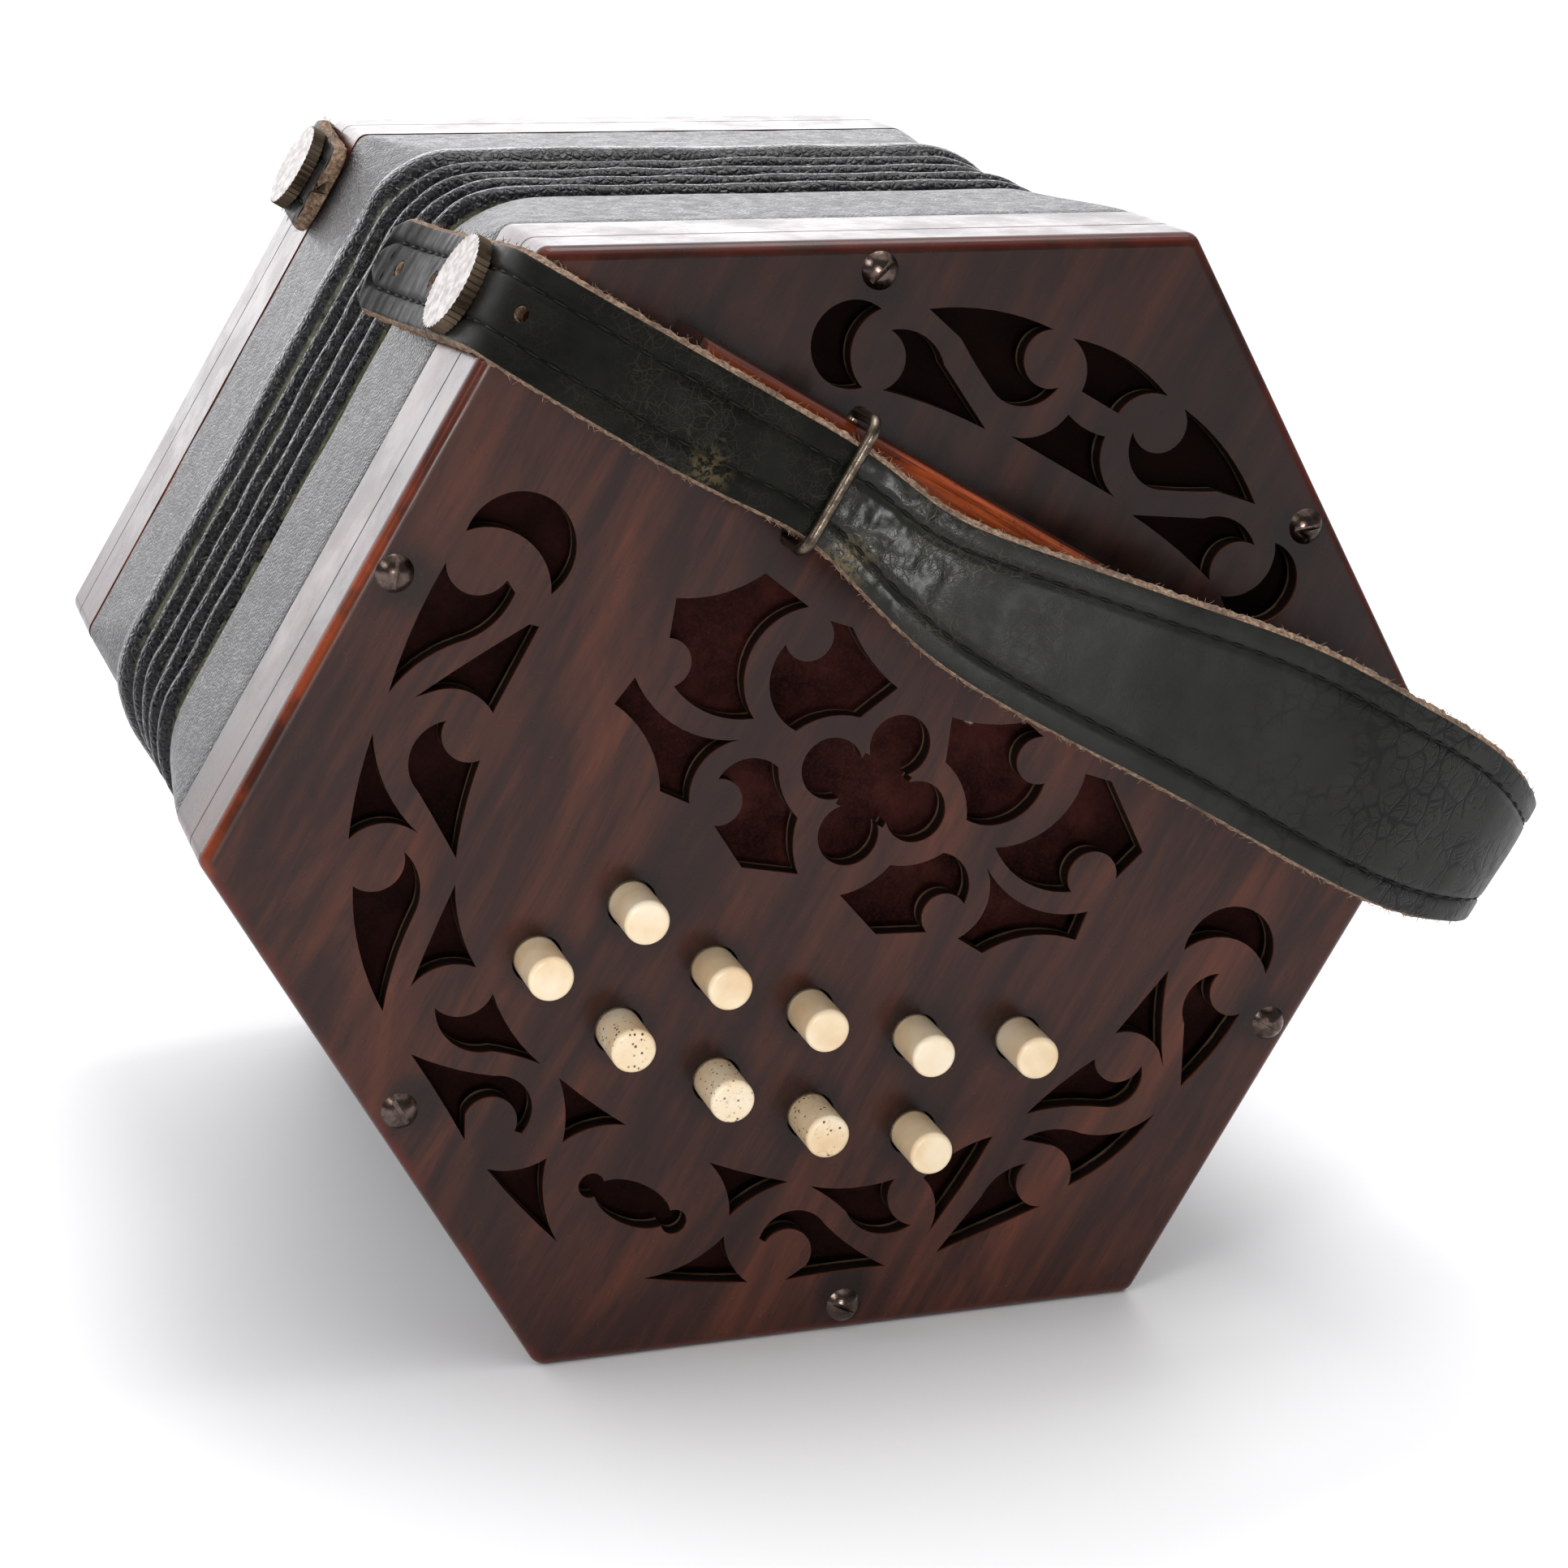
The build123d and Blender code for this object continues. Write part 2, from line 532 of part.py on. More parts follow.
def action_board(places):
    """Board with a hole under each pad, a guide hole for each peg, and the lever posts."""
    board = hex_plate(APOTHEM - WALL_T, BOX_DEPTH - BOARD_T, BOARD_T)
    for (u, v), towards in places:
        pad_v = v + towards * (LEVER_ARM + PAD_ARM)
        board -= drill(PEG_HOLE_R, u, v, BOX_DEPTH - BOARD_T, BOX_DEPTH)
        board -= drill(PAD_HOLE_R, u, pad_v, BOX_DEPTH - BOARD_T, BOX_DEPTH)
    for place, towards in places:
        board += lever_seat(place, towards) * lever_post()
    return board


def open_levers(places):
    """Levers whose eyes are wide enough for their buttons to pass."""
    return [lever_seat(place, towards) * lever(OPEN_EYE) for place, towards in places]


# ---- reeds ----
def reed_spokes():
    return [Rot(0, 0, 360 / REED_COUNT * (k + 0.5)) for k in range(REED_COUNT)]


def reed_pan():
    """Reed board with the chamber walls under it."""
    apothem = APOTHEM - FRAME_WALL_T
    wall_top = PAN_TOP + PAN_T
    rib_height = PAN_DEPTH - PAN_T
    board = hex_plate(apothem, PAN_TOP, PAN_T)
    length, width, thickness = REED_SIZE
    for spoke in reed_spokes():
        board -= spoke * Pos(REED_RADIUS, 0, -PAN_TOP - PAN_T / 2) * Box(length, width, PAN_T)
    middle = -wall_top - rib_height / 2
    ribs = Pos(0, 0, middle) * Cylinder(PAN_HUB_R, rib_height)
    for k in range(REED_COUNT // 2):
        turn = Rot(0, 0, 360 / REED_COUNT * k)
        ribs += Pos(0, 0, middle) * turn * Box(4 * apothem, PAN_WALL_T, rib_height)
    ribs -= Pos(0, 0, middle) * Cylinder(PAN_HUB_R - PAN_WALL_T, rib_height)
    ribs &= hex_plate(apothem - PAN_WALL_T / 2, wall_top, rib_height)
    rim = hex_plate(apothem, wall_top, rib_height)
    rim -= hex_plate(apothem - PAN_WALL_T, wall_top, rib_height)
    return board + rim + ribs


def reeds():
    """Brass shoe with its steel tongue in each chamber's slot."""
    length, width, thickness = REED_SIZE
    tongue_length, tongue_width, tongue_t = TONGUE_SIZE
    slot_width = tongue_width + 2 * TONGUE_GAP
    slot_length = tongue_length + TONGUE_ROOT
    shoe = Box(length, width, thickness) - Box(slot_length, slot_width, thickness)
    root = Pos(tongue_length / 2, 0, 0) * Box(TONGUE_ROOT, slot_width, thickness)
    tongue = Pos(0, 0, thickness / 2 - tongue_t / 2) * Box(tongue_length, tongue_width, tongue_t)
    reed = shoe + root + tongue
    return [
        spoke * Pos(REED_RADIUS, 0, -PAN_TOP - thickness / 2) * reed for spoke in reed_spokes()
    ]


# ---- bellows ----
def bellows_fold(index):
    """One fold: six mitred lengths of a ridged section, standing across Y."""
    span = LENGTH - 2 * FRAME_DEPTH
    pitch = span / FOLD_COUNT
    depth = FRAME_DEPTH + pitch * (index + 0.5)
    half = (pitch - FOLD_GAP) / 2
    land = FOLD_RIDGE_LAND / 2
    shoulder = FOLD_RIDGE_APOTHEM - FOLD_SHOULDER
    slices = [(FOLD_RIDGE_APOTHEM, land), (shoulder, half)]
    body = loft([
        Pos(0, 0, -depth + slices[1][1]) * hexagon(slices[1][0]),
        Pos(0, 0, -depth + slices[0][1]) * hexagon(slices[0][0])])
    body += loft([
        Pos(0, 0, -depth - slices[0][1]) * hexagon(slices[0][0]),
        Pos(0, 0, -depth - slices[1][1]) * hexagon(slices[1][0])])
    body += hex_plate(FOLD_RIDGE_APOTHEM, depth - land, 2 * land)
    body -= hex_plate(FOLD_INNER_APOTHEM, depth - half, 2 * half)
    return [body & sector for sector in wedges(2 * APOTHEM, depth - half, depth + half)]


# ---- the whole instrument ----
def action_places():
    """Every button with the side its lever goes to: +1 up the plate, -1 down it."""
    return [(place, 1) for place in UPPER_ROW] + [(place, -1) for place in LOWER_ROW]


def end_nodes(buttons, strap_path):
    """The pieces that both ends have."""
    return {
        "end_plate": end_plate(buttons),
        "baffle": [baffle(buttons)],
        "action_box": action_box(),
        "bellows_frame": bellows_frame(),
        "end_screws": end_screws(),
        "hand_rail": [hand_rail()],
        "strap_loop": [strap_loop()],
        "hand_strap": [hand_strap(strap_path)],
        "thumbscrew": [thumbscrew()],
        "reed_pan": [reed_pan()],
        "reeds": reeds(),
    }


def main():
    os.makedirs("parts", exist_ok=True)
    places = action_places()
    buttons = [place for place, towards in places]
    for name, solids in end_nodes(buttons, STRAP_PATH).items():
        save("left_" + name, [on_left(solid) for solid in solids])
    for name, solids in end_nodes(buttons + [AIR_BUTTON], RIGHT_STRAP_PATH).items():
        save("right_" + name, [on_right(solid) for solid in solids])

    save("left_action_board", on_left(action_board(places)))
    right_places = places + [(AIR_BUTTON, 1)]
    board_and_levers = [action_board(right_places)] + open_levers(right_places)
    save("right_action_board", [on_right(solid) for solid in board_and_levers])

    for number, (place, towards) in enumerate(places, start=1):
        save(f"left_button_{number}", on_left(button(*place)))
        save(f"right_button_{number}", on_right(button(*place)))
        save(f"left_lever_{number}", on_left(lever_seat(place, towards) * lever(LEVER_EYE)))
    save("right_air_button", on_right(button(*AIR_BUTTON)))

    for index in range(FOLD_COUNT):
        save(f"bellows_fold_{index + 1}", [on_left(solid) for solid in bellows_fold(index)])


main()
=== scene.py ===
import json
import math
import random

import bmesh
import bpy
import numpy as np
from mathutils import Matrix, Vector, noise


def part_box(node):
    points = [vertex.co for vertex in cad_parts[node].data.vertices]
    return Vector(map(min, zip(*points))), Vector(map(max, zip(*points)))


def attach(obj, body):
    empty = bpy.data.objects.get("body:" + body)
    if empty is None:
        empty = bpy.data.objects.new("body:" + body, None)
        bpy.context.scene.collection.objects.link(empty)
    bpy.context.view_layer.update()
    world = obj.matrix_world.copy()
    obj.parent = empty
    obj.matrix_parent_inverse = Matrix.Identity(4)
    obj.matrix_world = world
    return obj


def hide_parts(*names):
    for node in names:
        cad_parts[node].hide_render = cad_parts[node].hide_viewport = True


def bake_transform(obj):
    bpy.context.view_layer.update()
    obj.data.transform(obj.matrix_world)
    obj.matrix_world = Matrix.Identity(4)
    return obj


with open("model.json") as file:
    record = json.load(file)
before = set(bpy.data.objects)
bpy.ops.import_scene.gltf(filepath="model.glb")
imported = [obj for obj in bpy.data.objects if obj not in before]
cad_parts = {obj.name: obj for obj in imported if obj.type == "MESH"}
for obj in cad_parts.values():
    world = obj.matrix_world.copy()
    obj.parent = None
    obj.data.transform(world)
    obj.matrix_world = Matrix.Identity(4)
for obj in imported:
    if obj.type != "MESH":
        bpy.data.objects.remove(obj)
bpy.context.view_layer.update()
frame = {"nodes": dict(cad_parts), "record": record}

# ---- the frame's own measures, in metres ----
PLATE_LOW, PLATE_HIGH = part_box("left_end_plate")
FRAME_LOW, FRAME_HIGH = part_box("left_bellows_frame")
MM = 0.001
APOTHEM = PLATE_HIGH.z / 2
CENTRE = Vector(((PLATE_LOW.x + PLATE_HIGH.x) / 2, 0.0, APOTHEM))
END_Y = -PLATE_LOW.y            # outer face of each end plate
FRAME_OUTER_Y = -FRAME_LOW.y    # where the leather-covered frame meets the action box
FRAME_INNER_Y = -FRAME_HIGH.y   # where it meets the bellows
TILT = math.radians(30)         # the hand rail's direction below the horizontal
FLOOR_GAP = 0.15 * MM
SHARP_ANGLE = math.radians(50)
CORNER_STEPS = 10               # round each corner of the hexagon
SIDE_STEPS = 26                 # along each of its flats

# ---- camera ----
CAMERA_AT = (-0.15399, -0.4855, 0.2245)
CAMERA_FORWARD = (0.303, 0.903, -0.304)
CAMERA_DOWN = (-0.070, -0.297, -0.952)
CAMERA_LENS = 76.84
SENSOR = 36.0

# ---- leather-covered frames ----
FRAME_WOOD_CORNER = 2.4 * MM
FRAME_BELLOWS_CORNER = 19.0 * MM
FRAME_STEPS = 14                # rows between the two

# ---- bellows ----
FOLD_COUNT = 5
RIDGE_CORNER = 17.0 * MM
VALLEY_DROP = 9.5 * MM
FIRST_DROP = 9.0 * MM           # of the first sleeve's edge at the left frame, and the last one's
LAST_DROP = 6.0 * MM
LAST_CREST_WIDTH = 1.9          # times the others' width
SKIN = 1.0 * MM
# Each crest's distance from the left end's frame, and its height above the frames' flats.
CRESTS = [(8.0, 0.2), (15.8, 0.3), (24.4, 0.3), (33.2, 0.4), (41.0, 1.4)]
# Half a crest's section: offset from its middle, drop below its top, raw-edge mark; millimetres.
CREST_SECTION = [(0.0, 0.0, 0.0), (0.55, 0.05, 0.0), (1.05, 0.35, 0.0), (1.45, 0.95, 0.1), (1.75, 1.9, 0.9),
                 (1.95, 2.4, 0.9), (1.9, 2.75, 0.2), (2.3, 4.2, 0.0), (2.9, 6.2, 0.0)]

# ---- hand straps, in the end frame (u, v, h), millimetres ----
STRAP_T = 2.4
STRAP_PATH = [(-82.8, -50.0), (-81.0, -42.0), (-80.1, -33.0), (-80.0, -24.0), (-80.0, -14.0),
              (-80.1, -5.0), (-78.9, 1.6), (-74.0, 6.2), (-66.0, 10.4), (-57.0, 14.4),
              (-46.0, 15.0), (-34.0, 15.1), (-20.0, 19.2), (0.0, 25.8), (24.0, 30.4),
              (48.0, 31.0), (66.0, 26.8), (78.0, 20.4), (83.2, 12.0), (82.4, 3.0),
              (80.4, -4.0), (80.0, -12.0), (80.0, -22.0)]
STRAP_LOWER = [(-79.0, 29.9), (-45.0, 30.1), (-33.5, 30.1), (-26.0, 28.2), (-14.0, 25.0), (-2.0, 24.2),
               (20.0, 24.8), (50.0, 24.6), (68.0, 25.8), (80.0, 28.2), (88.0, 29.4)]
STRAP_UPPER = [(-79.0, 44.9), (-40.0, 44.9), (-30.0, 44.4), (-20.0, 43.2), (-11.0, 44.3), (-2.0, 46.1),
               (12.0, 48.8), (30.0, 51.8), (50.0, 52.4), (68.0, 51.6), (80.0, 48.6), (88.0, 46.4)]
TAIL_SLANT = 0.10               # sideways drift of the tail for each millimetre down the wall
STRAP_STATIONS = 520
EDGE_STATIONS = 200
STRAP_TAIL_CORNER = 3.2
RIGHT_TAIL = 24.0               # how far the right strap's shorter tail goes down the wall
RIGHT_TAIL_MARGIN = 40.0        # keeps the right strap's other end, which goes less far down
LOW_EDGE = 0.40                 # how far its raw edges slope in under the finished face
HIGH_EDGE = 0.62
STITCH_INSET = 3.9
STITCH_DEPTH = 0.30             # of the stitches in their grooves
STITCH_PITCH = 3.1
STITCH_LENGTH = 2.2
STITCH_R = 0.26
STITCH_BOW = 1.1                # how deep its ends sink, in radii
TAIL_STITCHES = [(0.30, 0.46), (0.51, 0.67)]    # across the tail, in shares of its width
HOLE_R = 1.05
HOLE_SIDES = 20
HOLE_PLACES = [-42.0, -27.0, 3.6]   # heights h of the strap's free punched holes
HOLE_MARGIN = 3.0               # a hole nearer than this to the tail's end isn't there
HOLES_BELOW = 6.0               # height h that all of them are under
CUT_BEYOND = 1.5                # how far the cutter reaches past both faces
FIBRE_COUNT = 420
FIBRE_RADII = [0.055 * MM, 0.045 * MM, 0.02 * MM]

# Places on the strap's face as (u, v), with how far their effect reaches, millimetres.
WORN_SPOTS = [((-29.0, 31.0), 4.0, 0.8), ((-51.5, 32.0), 4.0, 0.6)]     # finish rubbed off; last is how much
GLOSS_SPOT = ((-26.0, 37.0), 15.0)      # polished where the strap comes up out of the loop
CRACKLE_SPOTS = [((-20.0, 35.0), 23.0, 1.0), ((-56.0, 37.0), 24.0, 0.35)]
LOOP_CREASES = ((-25.0, 37.0), 14.0)
PINCH_CREASES = ((-50.0, 36.0), 16.0)
CREASED_TAIL = (12.0, 6.0)      # how far down the wall its creases begin, and fade in over
CRACKS_FADE_IN = (20.0, 35.0)   # the same for the cracks along u

FACE, RAW_EDGE, UNDERSIDE = 0, 1, 2     # parts of the strap's section

noise.seed_set(7)


# ---- places ----
def place(side, u, v, h):
    """Point of an end's own frame, in millimetres, in the row frame. side is -1 left, 1 right."""
    x = CENTRE.x + (u * math.cos(TILT) + v * math.sin(TILT)) * MM
    z = CENTRE.z + (v * math.cos(TILT) - u * math.sin(TILT)) * MM
    return Vector((x, side * (END_Y + h * MM), z))


def smooth_curve(points, count):
    """Evenly spaced points of the natural cubic spline through the given ones."""
    points = np.array(points, float)
    knots = np.concatenate([[0], np.cumsum(np.linalg.norm(np.diff(points, axis=0), axis=1))])
    second = natural_second_derivatives(knots, points)
    dense = np.linspace(0, knots[-1], count * 8)
    values = spline_values(knots, points, second, dense)
    run = np.concatenate([[0], np.cumsum(np.linalg.norm(np.diff(values, axis=0), axis=1))])
    even = np.linspace(0, run[-1], count)
    return np.stack([np.interp(even, run, values[:, k]) for k in range(points.shape[1])], axis=1)


def natural_second_derivatives(knots, points):
    size = len(knots)
    gaps = np.diff(knots)
    system = np.eye(size)
    right = np.zeros_like(points)
    for i in range(1, size - 1):
        system[i, i - 1:i + 2] = gaps[i - 1], 2 * (gaps[i - 1] + gaps[i]), gaps[i]
        slope_after = (points[i + 1] - points[i]) / gaps[i]
        slope_before = (points[i] - points[i - 1]) / gaps[i - 1]
        right[i] = 6 * (slope_after - slope_before)
    return np.linalg.solve(system, right)


def spline_values(knots, points, second, at):
    i = np.clip(np.searchsorted(knots, at) - 1, 0, len(knots) - 2)
    gap = (knots[i + 1] - knots[i])[:, None]
    a = (knots[i + 1] - at)[:, None] / gap
    b = 1 - a
    bend = ((a ** 3 - a) * second[i] + (b ** 3 - b) * second[i + 1]) * gap ** 2 / 6
    return a * points[i] + b * points[i + 1] + bend


# ---- mesh helpers ----
def new_object(name, data):
    obj = bpy.data.objects.new(name, data)
    bpy.context.scene.collection.objects.link(obj)
    return obj


def ray(angle):
    """Unit direction across the bellows, at an angle from X towards Z."""
    return Vector((math.cos(angle), 0, math.sin(angle)))


def piece(name, verts, faces, materials, indices=None):
    """New mesh object; edges sharper than SHARP_ANGLE stay sharp."""
    mesh = bpy.data.meshes.new(name)
    mesh.from_pydata([tuple(v) for v in verts], [], faces)
    for material in materials:
        mesh.materials.append(material)
    if indices is not None:
        mesh.polygons.foreach_set("material_index", indices)
    bm = bmesh.new()
    bm.from_mesh(mesh)
    bmesh.ops.recalc_face_normals(bm, faces=bm.faces)
    for face in bm.faces:
        face.smooth = True
    for edge in bm.edges:
        edge.smooth = len(edge.link_faces) == 2 and edge.calc_face_angle(0) < SHARP_ANGLE
    bm.to_mesh(mesh)
    bm.free()
    return new_object(name, mesh)


def mark(obj, name, values):
    """Store one number per vertex for the material to read."""
    layer = obj.data.attributes.new(name, "FLOAT", "POINT")
    layer.data.foreach_set("value", np.array(values, np.float32))


def loft_faces(rows, columns, closed_rows=True):
    """Quads between rows of a grid of vertices, each row being a closed loop."""
    faces = []
    for i in range(rows if closed_rows else rows - 1):
        for j in range(columns):
            a = i * columns + j
            b = i * columns + (j + 1) % columns
            c = (i + 1) % rows * columns + (j + 1) % columns
            d = (i + 1) % rows * columns + j
            faces.append((a, b, c, d))
    return faces


def hex_loop(apothem, corner_r, y):
    """Rounded hexagon across Y, flats up and down, as a closed loop of points."""
    turn = math.radians(60)
    reach = (apothem - corner_r) / math.cos(turn / 2)
    loop = []
    for k in range(6):
        arc = [ray(turn * k) * reach + ray(turn * (k + i / CORNER_STEPS - 0.5)) * corner_r
               for i in range(CORNER_STEPS + 1)]
        target = ray(turn * (k + 1)) * reach + ray(turn * (k + 0.5)) * corner_r
        loop += arc + [arc[-1].lerp(target, i / SIDE_STEPS) for i in range(1, SIDE_STEPS)]
    return [Vector((p.x + CENTRE.x, y, p.z + CENTRE.z)) for p in loop]


def ring(name, profile, material, wobble, wobble_size):
    """Ring swept round the hexagon. profile rows are (apothem, corner radius, y, raw-edge mark)."""
    verts = []
    marks = []
    for apothem, corner_r, y, value in profile:
        for point in hex_loop(apothem, corner_r, y):
            away = Vector((point.x - CENTRE.x, 0, point.z - CENTRE.z)).normalized()
            lift = wobble * noise.noise(point / wobble_size)
            moved = point + away * lift
            moved.z = max(moved.z, FLOOR_GAP)
            verts.append(moved)
            marks.append(value)
    columns = len(verts) // len(profile)
    obj = piece(name, verts, loft_faces(len(profile), columns), [material])
    mark(obj, "edge", marks)
    return obj


# ---- node helpers ----
class Tree:
    """Short way to write a material's nodes."""

    def __init__(self, name):
        self.material = bpy.data.materials.new(name)
        self.material.use_nodes = True
        self.tree = self.material.node_tree
        self.shader = self.tree.nodes["Principled BSDF"]

    def put(self, socket, value):
        if isinstance(value, bpy.types.NodeSocket):
            self.tree.links.new(value, socket)
        elif isinstance(value, (tuple, list)) and len(value) == 3 and socket.type == "RGBA":
            socket.default_value = (*value, 1.0)
        else:
            socket.default_value = value

    def node(self, kind, inputs=(), output=0, **settings):
        made = self.tree.nodes.new(kind)
        for key, value in settings.items():
            setattr(made, key, value)
        for key, value in dict(inputs).items():
            self.put(made.inputs[key], value)
        return made.outputs[output]

    def math(self, operation, a, b=0.0):
        return self.node("ShaderNodeMath", {0: a, 1: b}, operation=operation)

    def times(self, a, b):
        return self.math("MULTIPLY", a, b)

    def plus(self, a, b):
        return self.math("ADD", a, b)

    def vector(self, operation, a, b=(0.0, 0.0, 0.0)):
        output = "Value" if operation in ("DOT_PRODUCT", "LENGTH", "DISTANCE") else "Vector"
        return self.node("ShaderNodeVectorMath", {0: a, 1: b}, output, operation=operation)

    def range(self, value, low, high, to_low=0.0, to_high=1.0):
        inputs = {"Value": value, "From Min": low, "From Max": high, "To Min": to_low, "To Max": to_high}
        return self.node("ShaderNodeMapRange", inputs, interpolation_type="SMOOTHSTEP")

    def noise(self, vector, scale, detail=3.0, roughness=0.5, distortion=0.0):
        inputs = {"Vector": vector, "Scale": scale, "Detail": detail, "Roughness": roughness,
                  "Distortion": distortion}
        return self.node("ShaderNodeTexNoise", inputs)

    def cells(self, vector, scale, feature="F1"):
        return self.node("ShaderNodeTexVoronoi", {"Vector": vector, "Scale": scale}, feature=feature)

    def mix(self, factor, a, b, blend="MIX"):
        made = self.tree.nodes.new("ShaderNodeMix")
        made.data_type = "RGBA"
        made.blend_type = blend
        self.put(made.inputs[0], factor)
        self.put(made.inputs[6], a)
        self.put(made.inputs[7], b)
        return made.outputs[2]

    def ramp(self, factor, stops):
        made = self.tree.nodes.new("ShaderNodeValToRGB")
        elements = made.color_ramp.elements
        while len(elements) < len(stops):
            elements.new(0.5)
        for element, (position, color) in zip(elements, stops):
            element.position = position
            element.color = (*color, 1.0)
        self.put(made.inputs[0], factor)
        return made.outputs[0]

    def axis(self, vector, name):
        """One coordinate, X, Y or Z."""
        return self.node("ShaderNodeSeparateXYZ", {"Vector": vector}, name)

    def grey(self, value):
        return self.node("ShaderNodeCombineColor", {0: value, 1: value, 2: value})

    def facing(self, direction):
        """How square a surface stands to a direction, 0 to 1."""
        turned = self.node("ShaderNodeTexCoord", output="Normal")
        return self.math("ABSOLUTE", self.vector("DOT_PRODUCT", turned, direction))

    def attribute(self, name):
        return self.node("ShaderNodeAttribute", output="Fac", attribute_name=name)

    def bump(self, height, distance, strength=1.0, under=None):
        inputs = {"Height": height, "Distance": distance, "Strength": strength}
        if under is not None:
            inputs["Normal"] = under
        return self.node("ShaderNodeBump", inputs)

    def coordinates(self):
        """Place in the playing frame, in millimetres: X = u, Y along the bellows, Z = v."""
        turn = Matrix.Rotation(-TILT, 3, "Y")
        offset = -(turn @ (CENTRE / MM))
        inputs = {"Vector": self.node("ShaderNodeTexCoord", output="Object"),
                  "Scale": (1 / MM, 1 / MM, 1 / MM), "Rotation": (0, -TILT, 0), "Location": offset}
        return self.node("ShaderNodeMapping", inputs)

    def stretched(self, vector, scale):
        return self.node("ShaderNodeMapping", {"Vector": vector, "Scale": scale})

    def finish(self, **sockets):
        for key, value in sockets.items():
            self.put(self.shader.inputs[key.replace("_", " ")], value)
        return self.material


# ---- materials ----
ALONG = (0.0, 1.0, 0.0)         # the bellows' direction
RAIL_MIDDLE = 39.8              # v of the hand rail's middle line
PLATE_BACK = 3.2                # depth of the fretted panel's back face
BEZEL_DEPTH = 9.0               # of the seam between the end plate's walls and the action box
BAFFLE_DEPTH = 6.2
BOLT_INSET = 6.5                # from the flats of the hexagon
END_FACE = END_Y / MM
FLAT = APOTHEM / MM
BUTTONS = [name for name in frame["nodes"] if "button" in name]
DIRTY_BUTTONS = ["left_button_7", "left_button_8", "left_button_9"]


def hex_distance(t, place_mm):
    """How far a point stands from the long axis, measured square to the nearest flat."""
    found = None
    for degrees in (0, 60, 120):
        normal = ray(math.radians(degrees))
        reach = t.math("ABSOLUTE", t.vector("DOT_PRODUCT", place_mm, normal))
        found = reach if found is None else t.math("MAXIMUM", found, reach)
    return found


def node_places(names):
    """Middles of small pieces on the outer faces of the ends, in the playing frame's millimetres."""
    places = []
    for name in names:
        low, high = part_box(name)
        x = ((low.x + high.x) / 2 - CENTRE.x) / MM
        z = ((low.z + high.z) / 2 - CENTRE.z) / MM
        u = x * math.cos(TILT) - z * math.sin(TILT)
        v = x * math.sin(TILT) + z * math.cos(TILT)
        places.append((u, math.copysign(END_FACE, low.y), v))
    return places


def bolt_places():
    """Middles of the end bolts' heads, in the playing frame's millimetres."""
    places = []
    for side in (-1, 1):
        for k in range(6):
            spot = ray(math.radians(60 * k)) * (FLAT - BOLT_INSET)
            places.append((spot.x, side * END_FACE, spot.z))
    return places


def nearest(t, mm, places):
    """Distance to the nearest of some places."""
    found = None
    for spot in places:
        away = t.vector("DISTANCE", mm, spot)
        found = away if found is None else t.math("MINIMUM", found, away)
    return found


